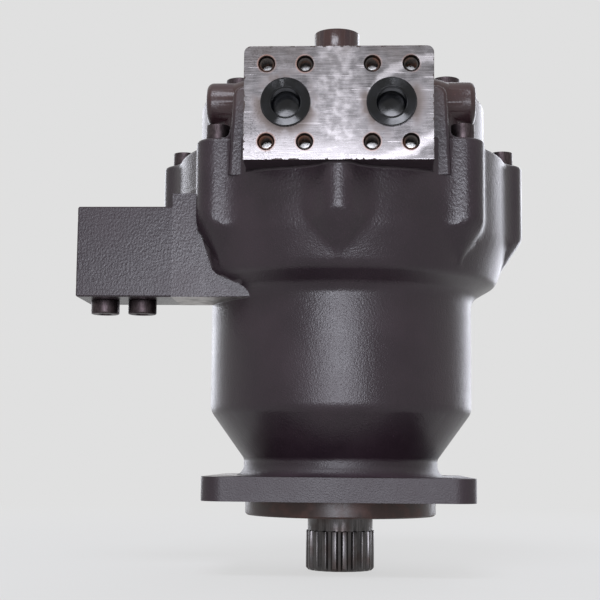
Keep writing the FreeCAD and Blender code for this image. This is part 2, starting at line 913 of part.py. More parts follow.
def make_port_block():
    """Block with the machined port face, its two top corners rounded."""
    body = doc.addObject("PartDesign::Body", "casing_port_block")
    half = s.port_block_width / 2
    sketch = outline(body, "port_block_outline", "XZ_Plane",
                     [(-half, 0), (half, 0), (half, s.port_block_height), (-half, s.port_block_height)])
    feature = body.newObject("PartDesign::Pad", "port_block_pad")
    feature.Profile = sketch
    bind(feature, "Length", s.port_face - s.arm_offset)
    body.Tip = feature
    doc.recompute()

    def top_corner(edge):
        along_y = abs(abs(edge.tangentAt(edge.FirstParameter).y) - 1) < 1e-6
        return along_y and edge.BoundBox.ZMin > s.port_block_height.value - 1e-3

    round_edges(body, "port_block_corners", s.port_block_corner, top_corner)
    return put(body, 0, -s.arm_offset, s.port_block_bottom)


def port_cuts(side, x):
    """Port bore, its drop to the valve plate and the four tapped flange screw holes."""
    shapes = [
        cylinder(f"port_bore_{side}", s.port_bore, s.port_depth, x, -s.port_face, s.port_height, "Y"),
        cylinder(f"port_drop_{side}", s.port_drop_bore, s.port_height - hub_bottom - 2,
                 x, -s.port_drop_offset, hub_bottom + 2),
        kidney(f"casing_kidney_{side}", side, hub_bottom, s.kidney_depth),
    ]
    for across in (-1, 1):
        for up in (-1, 1):
            place = (x + s.port_pattern_width / 2 * across, -s.port_face,
                     s.port_height + s.port_pattern_height / 2 * up, "Y")
            shapes.append(cylinder(f"port_screw_{side}_{across}_{up}", s.port_screw_hole,
                                   s.port_screw_depth, *place))
            shapes.append(cone(f"port_sink_{side}_{across}_{up}", s.countersink_diameter,
                               s.port_screw_hole, (s.countersink_diameter - s.port_screw_hole) / 2, *place))
    return shapes


def kidney(name, side, bottom, height):
    """A kidney-shaped slot on the piston circle, centred on the -X or +X side."""
    start = -s.kidney_angle / 2 + (180 if side == "left" else 0)
    slot = []
    for part, diameter in (("outer", s.piston_circle + s.kidney_width),
                           ("inner", s.piston_circle - s.kidney_width)):
        wedge = cylinder(f"{name}_{part}", diameter, height, z=bottom)
        bind(wedge, "Angle", s.kidney_angle)
        wedge.Placement = FreeCAD.Placement(wedge.Placement.Base, FreeCAD.Rotation(Z_AXIS, start.value))
        wedge.setExpression(".Placement.Rotation.Angle", start.text)
        slot.append(wedge)
    return cut(name, slot[0], slot[1])


def relief_cuts(side, sign, along):
    """Bore of one relief valve, from the end of its arm to the port bore."""
    return [
        cylinder(f"relief_bore_{side}", s.relief_bore, arm_end - half_port + 1,
                 (arm_end + 1) * sign, -s.arm_offset, s.arm_height, along),
        cylinder(f"relief_thread_{side}", s.relief_thread, s.relief_plug_length + 2,
                 (arm_end + 1) * sign, -s.arm_offset, s.arm_height, along),
    ]


def check_cuts(side, x):
    """Bore of one make-up check valve and the cross passage to its port bore."""
    direction, low = ("X", x) if side == "left" else ("-X", x)
    return [
        cylinder(f"check_bore_{side}", s.check_bore, s.check_boss_top - s.check_bore_bottom + 1,
                 x, -s.check_offset, s.check_bore_bottom),
        cylinder(f"check_passage_{side}", s.check_passage, s.check_spread - half_port,
                 low, -s.check_offset, s.port_height, direction),
    ]


def socket_plug(name, head, head_height, thread, length, socket, place, along="Z"):
    """A screw plug: round head with a hex socket over a threaded shank; its seat is at the place."""
    body = turned(
        f"{name}_turning",
        [
            (0, -length),
            (thread, -length),
            (thread, 0),
            (head, 0),
            (head, head_height - s.plug_bevel / 2),
            (head - s.plug_bevel, head_height),
            (0, head_height),
        ],
    )
    hollow = hexagon(f"{name}_socket", socket, s.plug_socket_depth, z=head_height - s.plug_socket_depth)
    return put(cut(name, body, hollow), *place, along)


def make_fasteners():
    """Casing screws, joint dowels and the casing's face seal."""
    screws = []
    for turn in screw_angles:
        x, y = polar(s.screw_circle / 2, turn)
        head = cylinder(f"screw_head_{turn}", s.screw_head_diameter, s.screw_head_height, x, y, casing_top)
        shank = cylinder(f"screw_shank_{turn}", s.screw_diameter, s.screw_length,
                         x, y, casing_top - s.screw_length)
        socket = hexagon(f"screw_socket_{turn}", s.screw_socket, s.screw_head_height / 2,
                         x, y, casing_top + s.screw_head_height / 2)
        screws.append(cut(f"screw_{turn}", fuse(f"screw_solid_{turn}", head, shank), socket))
    node(group("casing_screws_group", screws), "casing_screws")
    node(group("casing_dowels_group", dowels("dowel")), "casing_dowels")
    node(torus("casing_o_ring_torus", s.o_ring_circle, s.o_ring_section,
               z=s.joint_height - s.o_ring_section / 2), "casing_o_ring")


def spline_gaps(body):
    """Cuts the gaps between the spline teeth into the output end of the shaft."""
    before = body.Shape.Volume
    outer = s.spline_tip / 2 + 0.5
    sketch = outline(
        body, "spline_gap", "XY_Plane",
        [
            (-s.spline_root_gap / 2, s.spline_root / 2),
            (s.spline_root_gap / 2, s.spline_root / 2),
            (s.spline_tip_gap / 2, outer),
            (-s.spline_tip_gap / 2, outer),
        ],
    )
    sketch.AttachmentOffset = FreeCAD.Placement(FreeCAD.Vector(0, 0, s.shaft_end.value), FreeCAD.Rotation())
    sketch.setExpression(".AttachmentOffset.Base.z", s.shaft_end.text)
    gap = body.newObject("PartDesign::Pocket", "spline_gap_cut")
    gap.Profile = sketch
    gap.Reversed = True
    bind(gap, "Length", s.spline_end - s.shaft_end)
    body.Tip = gap
    teeth = body.newObject("PartDesign::PolarPattern", "spline_teeth")
    teeth.Originals = [gap]
    teeth.Axis = (sketch, ["N_Axis"])
    teeth.Angle = 360
    teeth.Occurrences = int(s.spline_teeth.value)
    body.Tip = teeth
    doc.recompute()
    if body.Shape.Volume > before - 1000:
        raise RuntimeError("the spline gaps cut nothing")


def make_shaft():
    """Drive shaft with its output spline, and the seal and bearings that it turns in."""
    bearing_top = s.bearing_seat + s.bearing_width
    collar_top = bearing_top + s.shaft_collar_width
    journal_start = s.shaft_top - s.rear_journal_length
    shaft = turned(
        "shaft_turning",
        [
            (0, s.shaft_end),
            (s.spline_tip - 2 * s.spline_chamfer, s.shaft_end),
            (s.spline_tip, s.shaft_end + s.spline_chamfer),
            (s.spline_tip, s.spline_end),
            (s.neck_shaft_diameter, s.spline_end),
            (s.neck_shaft_diameter, -s.pilot_depth),
            (s.seal_land_diameter, -s.pilot_depth + s.spline_chamfer),
            (s.seal_land_diameter, s.bearing_seat),
            (s.bearing_bore, s.bearing_seat),
            (s.bearing_bore, bearing_top),
            (s.shaft_collar_diameter, bearing_top),
            (s.shaft_collar_diameter, collar_top),
            (s.shaft_body_diameter, collar_top + s.shaft_collar_width),
            (s.shaft_body_diameter, s.block_top),
            (s.rear_journal_diameter + 2 * s.spline_chamfer, s.block_top),
            (s.rear_journal_diameter + 2 * s.spline_chamfer, journal_start),
            (s.rear_journal_diameter, journal_start),
            (s.rear_journal_diameter, s.shaft_top),
            (0, s.shaft_top),
        ],
    )
    doc.recompute()
    spline_gaps(shaft)
    node(shaft, "drive_shaft")

    seal = ring("shaft_seal_ring", s.seal_diameter, s.seal_land_diameter + 2 * s.slide_clearance,
                s.seal_width, z=s.seal_top - s.seal_width)
    node(seal, "shaft_seal")
    snap = ring("snap_ring_full", s.seal_diameter + 2 * s.snap_ring_depth,
                s.seal_diameter + 2 * s.snap_ring_depth - 2 * s.snap_ring_height, s.snap_ring_width,
                z=s.seal_top - s.seal_width - s.snap_ring_width)
    slit = box("snap_ring_slit", s.snap_ring_height * 2, s.seal_diameter, s.snap_ring_width * 3,
               -s.snap_ring_height, 0, s.seal_top - s.seal_width - s.snap_ring_width * 2)
    node(cut("snap_ring_cut", snap, slit), "seal_snap_ring")
    bearing("main_bearing", s.bearing_diameter, s.bearing_bore, s.bearing_width, s.bearing_ring,
            s.bearing_seat, int(s.bearing_rollers.value))
    bearing("rear_bearing", s.rear_bearing_diameter, s.rear_journal_diameter, s.rear_bearing_width,
            s.rear_bearing_ring, s.rear_bearing_top - s.rear_bearing_width, 12)


def bearing(name, outer, bore, width, wall, bottom, count):
    """A roller bearing: outer ring, rollers and inner ring."""
    track_outer = outer - 2 * wall
    track_inner = bore + 2 * wall
    roller = (track_outer - track_inner) / 2 - 2 * s.slide_clearance
    node(ring(f"{name}_outer_ring", outer, track_outer, width, z=bottom), f"{name}_outer")
    node(ring(f"{name}_inner_ring", track_inner, bore, width, z=bottom), f"{name}_inner")
    rollers = [
        cylinder(f"{name}_roller_{number}", roller, width * 0.8,
                 *polar((track_outer + track_inner) / 4, 360 * number / count), bottom + width * 0.1)
        for number in range(count)
    ]
    node(group(f"{name}_rollers_group", rollers), f"{name}_rollers")


def make_swash():
    """Fixed swash plate, thrust plate, shoes with their retainer and the spherical guide."""
    bearing_top = s.bearing_seat + s.bearing_width
    blank = turned(
        "swash_blank",
        [
            (s.swash_spigot_bore, bearing_top),
            (s.bearing_diameter, bearing_top),
            (s.bearing_diameter, s.swash_floor),
            (s.swash_diameter, s.swash_floor),
            (s.swash_diameter, s.swash_pivot + s.shoe_height),
            (s.swash_hole, s.swash_pivot + s.shoe_height),
            (s.swash_hole, s.swash_floor),
            (s.swash_spigot_bore, s.swash_floor - 4),
        ],
    )
    above = cylinder("swash_above", s.swash_diameter * 2, s.swash_diameter,
                     z=-s.shoe_height - s.thrust_plate)
    node(cut("swash_cut", blank, tilt(group("swash_above_tilted", [above]))), "swash_plate")
    plate = ring("thrust_ring", s.thrust_plate_diameter, s.swash_hole, s.thrust_plate,
                 z=-s.shoe_height - s.thrust_plate)
    node(tilt(group("thrust_plate_tilted", [plate])), "thrust_plate")

    tilted_circle = s.piston_circle * 2 / (1 + cosine(s.swash_angle))
    retainer_bottom = -s.shoe_height + s.shoe_flange
    disc = cylinder("retainer_disc", s.retainer_diameter, s.retainer_thickness, z=retainer_bottom)
    seat = sphere("retainer_seat", s.guide_sphere + 2 * s.retainer_clearance)
    holes = [
        cylinder(f"retainer_hole_{number}", s.shoe_neck_diameter + 2 * s.retainer_clearance,
                 s.retainer_thickness, *polar(tilted_circle / 2, 40 * number), retainer_bottom)
        for number in range(9)
    ]
    retainer = cut("retainer_cut", disc, seat, *holes)
    node(tilt(group("retainer_tilted", [retainer])), "retainer_plate")
    shoes = [make_shoe(number, *polar(tilted_circle / 2, 40 * number)) for number in range(9)]
    node(tilt(group("shoes_tilted", shoes)), "piston_shoes")

    ball = sphere("guide_ball", s.guide_sphere, z=s.swash_pivot)
    band = ring("guide_band", s.guide_sphere * 2, s.shaft_body_diameter, s.guide_below + s.guide_above,
                z=s.swash_pivot - s.guide_below)
    node(common("guide_common", band, ball), "spherical_guide")
    pins = [
        cylinder(f"guide_pin_{turn}", s.guide_pin_diameter, s.guide_pin_length,
                 *polar(s.guide_pin_circle / 2, turn), s.swash_pivot + s.guide_above)
        for turn in (0, 120, 240)
    ]
    node(group("guide_pins_group", pins), "guide_pins")


def make_shoe(number, x, y):
    """One bronze shoe: sliding flange, neck and the socket that holds the piston's ball."""
    foot = cylinder(f"shoe_foot_{number}", s.shoe_flange_diameter, s.shoe_flange, x, y, -s.shoe_height)
    neck = cylinder(f"shoe_neck_{number}", s.shoe_neck_diameter,
                    s.shoe_height + s.shoe_collar - s.shoe_flange, x, y, -s.shoe_height + s.shoe_flange)
    socket = sphere(f"shoe_socket_{number}", s.piston_ball + 2 * s.ball_clearance, x, y)
    return cut(f"shoe_{number}", fuse(f"shoe_solid_{number}", foot, neck), socket)


def make_pistons():
    """Nine pistons, each with a ball that stays in its shoe."""
    tilted_radius = s.piston_circle / (1 + cosine(s.swash_angle))
    for number in range(9):
        x, tilted_y = polar(tilted_radius, 40 * number)
        y = tilted_y * cosine(s.swash_angle)
        z = s.swash_pivot + tilted_y * sine(s.swash_angle)
        ball = sphere(f"piston_ball_{number}", s.piston_ball, x, y, z)
        neck = cylinder(f"piston_neck_{number}", s.piston_neck_diameter, s.piston_neck_length, x, y, z)
        body = cylinder(f"piston_body_{number}", s.piston_diameter,
                        s.piston_length - s.piston_neck_length, x, y, z + s.piston_neck_length)
        node(fuse(f"piston_fused_{number}", ball, neck, body), f"piston_{number + 1}")


def make_block():
    """Cylinder block with nine bores, and the spring that holds it to the valve plate."""
    blank = cylinder("block_blank", s.block_diameter, s.block_top - s.block_bottom, z=s.block_bottom)
    tools = [
        cylinder("block_shaft_bore", s.shaft_body_diameter, s.block_top - s.block_bottom, z=s.block_bottom),
        cylinder("block_spring_chamber", s.spring_chamber_diameter,
                 s.spring_chamber_top - s.block_bottom, z=s.block_bottom),
    ]
    for number in range(9):
        x, y = polar(s.piston_circle / 2, 40 * number)
        tools.append(cylinder(f"block_bore_{number}", s.piston_diameter + 2 * s.piston_clearance,
                              s.block_bore_top - s.block_bottom, x, y, s.block_bottom))
        tools.append(cylinder(f"block_port_{number}", s.block_port,
                              s.block_top - s.block_bore_top, x, y, s.block_bore_top))
    node(cut("block_cut", blank, *tools), "cylinder_block")
    spring_bottom = s.swash_pivot + s.guide_above + s.guide_pin_length
    node(ring("center_spring_tube", s.guide_pin_circle + s.center_spring_wire,
              s.guide_pin_circle - s.center_spring_wire, s.spring_chamber_top - spring_bottom,
              z=spring_bottom), "center_spring")


def make_brake():
    """Brake pack, brake piston with its seals, and the springs that apply the brake."""
    separators = []
    frictions = []
    height = s.brake_bore_start
    for number in range(5):
        separators.append(ring(f"separator_{number}", s.brake_bore_diameter, s.separator_inner,
                               s.separator_thickness, z=height))
        height = height + s.separator_thickness + s.plate_gap
        if number < 4:
            frictions.append(ring(f"friction_{number}", s.friction_outer, s.block_diameter,
                                  s.friction_thickness, z=height))
            height = height + s.friction_thickness + s.plate_gap
    node(group("separators_group", separators), "separator_plates")
    node(group("frictions_group", frictions), "friction_plates")

    lower = s.brake_bore_diameter - 2 * s.slide_clearance
    upper = s.brake_upper_bore - 2 * s.slide_clearance
    step = s.brake_step_height + s.brake_chamber
    seal_groove = s.brake_seal_section
    lower_groove = height + s.brake_seal_section
    upper_groove = s.brake_piston_top - 3 * s.brake_seal_section
    blank = turned(
        "brake_piston_blank",
        [
            (s.brake_piston_inner, height),
            (lower, height),
            (lower, lower_groove),
            (lower - 2 * seal_groove, lower_groove),
            (lower - 2 * seal_groove, lower_groove + seal_groove),
            (lower, lower_groove + seal_groove),
            (lower, step),
            (upper, step),
            (upper, upper_groove),
            (upper - 2 * seal_groove, upper_groove),
            (upper - 2 * seal_groove, upper_groove + seal_groove),
            (upper, upper_groove + seal_groove),
            (upper, s.brake_piston_top),
            (s.brake_piston_inner, s.brake_piston_top),
        ],
    )
    spring_bottom = s.joint_height - s.brake_spring_length
    pockets = []
    springs = []
    for number in range(12):
        place = (*polar(s.brake_spring_circle / 2, 30 * number + 15), spring_bottom)
        pockets.append(cylinder(f"spring_pocket_{number}", s.spring_pocket,
                                s.brake_piston_top - spring_bottom, *place))
        springs.append(ring(f"brake_spring_{number}", s.brake_spring_outer,
                            s.brake_spring_outer - 2 * s.brake_spring_wire, s.brake_spring_length, *place))
    node(cut("brake_piston_cut", blank, *pockets), "brake_piston")
    node(group("brake_springs_group", springs), "brake_springs")
    seals = [
        ring("brake_seal_lower", lower, lower - 2 * seal_groove, seal_groove, z=lower_groove),
        ring("brake_seal_upper", upper, upper - 2 * seal_groove, seal_groove, z=upper_groove),
    ]
    node(group("brake_seals_group", seals), "brake_piston_seals")


def make_valve_plate():
    bottom = s.block_top + s.valve_plate_gap
    plate = ring("valve_plate_ring", s.valve_plate_diameter, s.valve_plate_bore, s.valve_plate, z=bottom)
    slots = [kidney(f"plate_kidney_{side}", side, bottom, s.valve_plate) for side in ("left", "right")]
    node(cut("valve_plate_cut", plate, *slots), "valve_plate")


def make_casing_valves():
    """Port plugs, relief valves, make-up check valves and the cap plug."""
    for side, x in (("left", -half_port), ("right", half_port)):
        plug = turned(
            f"port_plug_{side}_turning",
            [
                (0, -s.plug_depth),
                (s.port_bore, -s.plug_depth),
                (s.port_bore, 0),
                (s.plug_flange_diameter, 0),
                (s.plug_flange_diameter, s.plug_flange - s.plug_bevel),
                (s.plug_flange_diameter - 2 * s.plug_bevel, s.plug_flange),
                (s.plug_recess_diameter, s.plug_flange),
                (s.plug_recess_diameter, s.plug_flange - s.plug_recess_depth),
                (0, s.plug_flange - s.plug_recess_depth),
            ],
        )
        node(put(plug, x, -s.port_face, s.port_height, "-Y"), f"port_plug_{side}")
    seats = []
    springs = []
    plugs = []
    for side, sign, along in (("left", -1, "-X"), ("right", 1, "X")):
        seats_start = s.relief_seat_start
        poppet_start = seats_start + s.relief_seat_length
        plug_start = arm_end - s.relief_plug_length
        at = (-s.arm_offset, s.arm_height, along)
        seats.append(ring(f"relief_seat_{side}", s.relief_bore, s.relief_seat_hole,
                          s.relief_seat_length, seats_start * sign, *at))
        nose = cylinder(f"relief_nose_{side}", s.relief_seat_hole - 0.4, s.relief_seat_length / 2,
                        (poppet_start - s.relief_seat_length / 2) * sign, *at)
        body = cylinder(f"relief_body_{side}", s.relief_poppet_diameter, s.relief_poppet_length,
                        poppet_start * sign, *at)
        stem = cylinder(f"relief_stem_{side}", s.relief_stem_diameter, s.relief_stem_length,
                        (poppet_start + s.relief_poppet_length) * sign, *at)
        node(fuse(f"relief_poppet_{side}_fused", nose, body, stem), f"relief_poppet_{side}")
        spring_start = poppet_start + s.relief_poppet_length + s.relief_travel + 0.2
        springs.append(ring(f"relief_spring_{side}", s.relief_poppet_diameter,
                            s.relief_poppet_diameter - 2 * s.relief_spring_wire,
                            plug_start - spring_start, spring_start * sign, *at))
        plug = cylinder(f"relief_plug_body_{side}", s.relief_thread, s.relief_plug_length,
                        plug_start * sign, *at)
        socket = hexagon(f"relief_plug_socket_{side}", s.plug_socket, s.plug_socket_depth,
                         (arm_end - s.plug_socket_depth) * sign, *at)
        plugs.append(cut(f"relief_plug_{side}", plug, socket))
    node(group("relief_seats_group", seats), "relief_seats")
    node(group("relief_springs_group", springs), "relief_springs")
    node(group("relief_plugs_group", plugs), "relief_plugs")

    check_plugs = []
    poppet_top = s.check_poppet_bottom + s.check_poppet_length
    for side, x in check_places:
        outer = s.check_bore - 2 * s.slide_clearance
        cup = cylinder(f"check_cup_{side}", outer, s.check_poppet_length,
                       x, -s.check_offset, s.check_poppet_bottom)
        hollow = cylinder(f"check_hollow_{side}", outer - 2 * s.check_poppet_wall,
                          s.check_poppet_length / 2, x, -s.check_offset,
                          poppet_top - s.check_poppet_length / 2)
        node(cut(f"check_poppet_{side}_cut", cup, hollow), f"check_poppet_{side}")
        spring_bottom = poppet_top - s.check_poppet_length / 2
        spring_outer = outer - 2 * s.check_poppet_wall - 1
        node(ring(f"check_spring_{side}_tube", spring_outer, spring_outer - 2 * s.check_spring_wire,
                  s.check_spring_length, x, -s.check_offset, spring_bottom), f"check_spring_{side}")
        shank_length = s.check_boss_top - spring_bottom - s.check_spring_length
        check_plugs.append(socket_plug(f"check_plug_{side}", s.check_plug_head, s.check_plug_height,
                                       s.check_bore, shank_length, s.plug_socket,
                                       (x, -s.check_offset, s.check_boss_top)))
    node(group("check_plugs_group", check_plugs), "check_valve_plugs")

    cap = cylinder("cap_plug_body", s.cap_plug_diameter, s.cap_plug_length,
                   s.cap_x, s.cap_y, s.cap_top - s.cap_recess - s.cap_plug_length)
    socket = hexagon("cap_plug_socket", s.plug_socket, s.plug_socket_depth,
                     s.cap_x, s.cap_y, s.cap_top - s.cap_recess - s.plug_socket_depth)
    node(cut("cap_plug_cut", cap, socket), "top_port_plug")


def make_brake_valve():
    """Brake valve block with its spool, plugs, screws and face seals."""
    left = -s.valve_block_face - s.valve_block_width
    middle = valve_block_middle()
    blank = wrapped("valve_block_body", box("valve_block_box", s.valve_block_width, s.valve_block_depth,
                                            s.valve_block_height))
    joint_face = s.valve_block_width.value - 1e-3
    round_edges(blank, "valve_block_bevel", s.valve_block_edge,
                lambda edge: edge.BoundBox.XMin < joint_face, "Chamfer")
    put(blank, left, -s.valve_block_front, s.valve_block_bottom)
    spool_x = left + s.block_plug_inset
    orifice_x = spool_x + s.block_plug_pitch
    tools = [
        cylinder("spool_bore_hole", s.spool_bore, s.spool_bore_depth, spool_x, middle, s.valve_block_bottom),
        cylinder("orifice_hole", s.spool_bore, s.orifice_depth, orifice_x, middle, s.valve_block_bottom),
        cylinder("block_passage", s.brake_passage, -s.valve_block_face - spool_x,
                 spool_x, middle, s.brake_passage_height, "X"),
    ]
    tools += [
        cylinder(f"block_plug_thread_{number}", s.block_plug_thread, s.block_plug_length,
                 x, middle, s.valve_block_bottom)
        for number, x in enumerate((spool_x, orifice_x))
    ]
    screws = []
    for across in (-1, 1):
        for up in (-1, 1):
            name = f"block_screw_{across}_{up}"
            y, z = block_screw_place(across, up)
            seat = left + s.block_screw_head_height
            length = s.valve_block_width - s.block_screw_head_height + s.block_screw_grip - 2
            tools.append(cylinder(f"{name}_hole", s.block_screw_diameter + 1, s.valve_block_width,
                                  left, y, z, "X"))
            tools.append(cylinder(f"{name}_sink", s.block_screw_head + 1, s.block_screw_head_height,
                                  left, y, z, "X"))
            head = cylinder(f"{name}_head", s.block_screw_head, s.block_screw_head_height, left, y, z, "X")
            shank = cylinder(f"{name}_shank", s.block_screw_diameter, length, seat, y, z, "X")
            socket = hexagon(f"{name}_socket", s.screw_socket - 2, s.block_screw_head_height / 2,
                             left, y, z, "X")
            screws.append(cut(name, fuse(f"{name}_solid", head, shank), socket))
    face_seal = ring("valve_block_seal_groove", s.block_o_ring_circle + s.block_o_ring_section * 1.4,
                     s.block_o_ring_circle - s.block_o_ring_section * 1.4, s.block_o_ring_section,
                     -s.valve_block_face - s.block_o_ring_section, middle, s.brake_passage_height, "X")
    node(cut("valve_block_cut", blank, face_seal, *tools), "brake_valve_block")
    node(group("valve_block_screws_group", screws), "brake_valve_screws")
    node(torus("valve_block_seal_torus", s.block_o_ring_circle, s.block_o_ring_section,
               -s.valve_block_face - s.block_o_ring_section / 2, middle, s.brake_passage_height, "X"),
         "brake_valve_seal")

    spool_top = s.valve_block_bottom + s.spool_bore_depth
    land = s.spool_bore - 2 * s.slide_clearance
    spool_bottom = spool_top - s.spool_length
    spool = turned(
        "spool_turning",
        [
            (0, 0),
            (land, 0),
            (land, s.spool_length / 3),
            (s.spool_waist, s.spool_length / 3),
            (s.spool_waist, s.spool_length * 2 / 3),
            (land, s.spool_length * 2 / 3),
            (land, s.spool_length),
            (0, s.spool_length),
        ],
    )
    node(put(spool, spool_x, middle, spool_bottom), "brake_valve_spool")
    spring_bottom = s.valve_block_bottom + s.block_plug_length
    node(ring("spool_spring_tube", s.spool_waist + s.spool_spring_wire,
              s.spool_waist - s.spool_spring_wire, spool_bottom - spring_bottom,
              spool_x, middle, spring_bottom), "brake_valve_spring")
    plugs = [
        socket_plug(f"block_plug_{number}", s.block_plug_head, s.block_plug_height, s.block_plug_thread,
                    s.block_plug_length, s.screw_socket, (x, middle, s.valve_block_bottom), "-Z")
        for number, x in enumerate((spool_x, orifice_x))
    ]
    node(group("block_plugs_group", plugs), "brake_valve_plugs")
    drain = cylinder("drain_plug_body", s.drain_plug_diameter, s.drain_plug_length,
                     0, s.drain_boss_reach - s.drain_plug_length, s.drain_height, "Y")
    socket = hexagon("drain_plug_socket", s.screw_socket, s.plug_socket_depth,
                     0, s.drain_boss_reach - s.plug_socket_depth, s.drain_height, "Y")
    node(cut("drain_plug_cut", drain, socket), "drain_plug")


def check_and_write():
    """Stops on a failed object or a bad shape, then writes one file for each sub-part."""
    doc.recompute()
    for obj in doc.Objects:
        if "Invalid" in obj.State or "Error" in obj.State:
            raise RuntimeError(f"{obj.Name} did not build: {obj.State}")
    for obj in NODES:
        if obj.Shape.isNull() or not obj.Shape.isValid() or not obj.Shape.Solids:
            raise RuntimeError(f"{obj.Label} has no valid shape")
    os.makedirs("parts", exist_ok=True)
    for obj in NODES:
        obj.Shape.exportStep(f"parts/{obj.Label}.step")
        print(obj.Label, len(obj.Shape.Solids), round(obj.Shape.Volume / 1000, 1))


make_housing()
make_valve_casing()
make_fasteners()
make_shaft()
make_swash()
make_pistons()
make_block()
make_brake()
make_valve_plate()
make_casing_valves()
make_brake_valve()
check_and_write()
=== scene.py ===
import json
import math

import bmesh
import bpy
from bpy.props import FloatProperty, FloatVectorProperty, IntProperty, PointerProperty
from mathutils import Matrix, Vector


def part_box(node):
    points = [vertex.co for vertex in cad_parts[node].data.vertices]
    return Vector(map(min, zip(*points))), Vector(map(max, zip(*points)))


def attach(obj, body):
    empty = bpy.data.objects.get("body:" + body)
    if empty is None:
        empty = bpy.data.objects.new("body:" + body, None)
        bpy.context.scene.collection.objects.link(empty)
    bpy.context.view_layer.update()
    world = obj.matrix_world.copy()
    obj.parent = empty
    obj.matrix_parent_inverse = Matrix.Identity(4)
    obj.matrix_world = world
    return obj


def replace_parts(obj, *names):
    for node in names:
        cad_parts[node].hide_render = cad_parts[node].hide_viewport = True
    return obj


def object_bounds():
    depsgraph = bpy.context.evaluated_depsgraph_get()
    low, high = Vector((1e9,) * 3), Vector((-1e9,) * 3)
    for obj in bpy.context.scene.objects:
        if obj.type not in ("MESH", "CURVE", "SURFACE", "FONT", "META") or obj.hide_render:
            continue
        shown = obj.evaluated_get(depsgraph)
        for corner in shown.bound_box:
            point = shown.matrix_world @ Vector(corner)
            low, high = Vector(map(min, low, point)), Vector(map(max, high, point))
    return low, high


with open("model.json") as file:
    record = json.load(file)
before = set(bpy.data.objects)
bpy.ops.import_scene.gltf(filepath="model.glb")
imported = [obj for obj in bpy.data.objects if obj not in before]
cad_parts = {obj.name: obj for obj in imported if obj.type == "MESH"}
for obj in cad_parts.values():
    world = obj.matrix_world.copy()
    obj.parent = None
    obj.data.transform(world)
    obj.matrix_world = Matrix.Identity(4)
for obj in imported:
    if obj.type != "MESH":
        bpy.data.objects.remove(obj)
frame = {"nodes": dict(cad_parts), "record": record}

bl_info = {
    "name": "Swing Motor Dressing",
    "version": (1, 0, 0),
    "blender": (4, 5, 0),
    "location": "3D View > Sidebar > Swing Motor",
    "description": "Dresses the packed solids of a swing motor and sets up its studio",
    "category": "Object",
}

CAD_BOX = [list(corner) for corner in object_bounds()]
ROOT_BODY = "motor_frame"
MM = 0.001
ROUND_STEPS = 96

# The port face with its two ports, half the pattern of the four bolts round each, half the face
PORT_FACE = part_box("valve_casing")[0].y
LEFT_PORT = sum(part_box("port_plug_left"), Vector()) / 2
RIGHT_PORT = sum(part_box("port_plug_right"), Vector()) / 2
BOLTS_ACROSS = 13.88 * MM
BOLTS_UP = 28.575 * MM
FACE_ACROSS = 68.25 * MM
FACE_UP = 41.7 * MM


# Sizes and colours that a user may change

class PaintSettings(bpy.types.PropertyGroup):
    """Paint on the castings."""

    colour: FloatVectorProperty(
        name="Paint colour", description="Dark colour of the painted castings",
        subtype="COLOR", size=3, min=0, max=1, default=(0.0110, 0.0052, 0.0088),
    )
    # Lighter paint for thin or dusty spots, and also a painted highlight on the high lumps of the
    # skin
    faded_and_highlight: FloatVectorProperty(
        name="Faded paint", description="Colour where the paint is thin or dusty",
        subtype="COLOR", size=3, min=0, max=1, default=(0.024, 0.0140, 0.0190),
    )
    grain: FloatProperty(
        name="Fine grain", description="Distance between the lumps of the smooth cast skin",
        unit="LENGTH", min=0.0005, max=0.01, default=0.0012,
    )
    coarse_grain: FloatProperty(
        name="Coarse grain", description="Distance between the lumps of the rough cast skin",
        unit="LENGTH", min=0.0005, max=0.02, default=0.0016,
    )
    gloss: FloatProperty(
        name="Roughness", description="Roughness of the paint", subtype="FACTOR",
        min=0, max=1, default=0.29,
    )
    # Brownish colour: a painted reflection on the arms and the top of the casing, and the own
    # colour below the flange
    warm_tint_and_reflection: FloatVectorProperty(
        name="Warm tint", description="Browner paint on the arms and the top of the casing",
        subtype="COLOR", size=3, min=0, max=1, default=(0.054, 0.0220, 0.0155),
    )


class MetalSettings(bpy.types.PropertyGroup):
    """Bare metal of the port face, the shaft and the small parts."""

    face: FloatVectorProperty(
        name="Port face", description="Colour of the machined port face",
        subtype="COLOR", size=3, min=0, max=1, default=(0.150, 0.142, 0.145),
    )
    stain: FloatVectorProperty(
        name="Stain", description="Colour of the oil stains round the ports",
        subtype="COLOR", size=3, min=0, max=1, default=(0.070, 0.054, 0.046),
    )
    rust: FloatVectorProperty(
        name="Rust", description="Colour of the light rust at edges",
        subtype="COLOR", size=3, min=0, max=1, default=(0.19, 0.075, 0.04),
    )
    shaft: FloatVectorProperty(
        name="Shaft", description="Colour of the oiled shaft steel",
        subtype="COLOR", size=3, min=0, max=1, default=(0.085, 0.08, 0.08),
    )
    chip: FloatProperty(
        name="Edge chips", description="How far the nicks reach in from the port face's edge",
        unit="LENGTH", min=0, max=0.005, default=0.0011,
    )


class ThreadSettings(bpy.types.PropertyGroup):
    """Threads of the eight tapped holes in the port face."""

    pitch: FloatProperty(
        name="Pitch", description="Distance between two turns", unit="LENGTH",
        min=0.0005, max=0.004, default=0.0020,
    )
    core: FloatProperty(
        name="Core diameter", description="Diameter inside the thread's crests", unit="LENGTH",
        min=0.002, max=0.03, default=0.0086,
    )
    length: FloatProperty(
        name="Length", description="Length of the thread below the countersink", unit="LENGTH",
        min=0.005, max=0.03, default=0.019,
    )
    steps: IntProperty(
        name="Steps", description="Facets in one turn", min=12, max=64, default=24,
    )


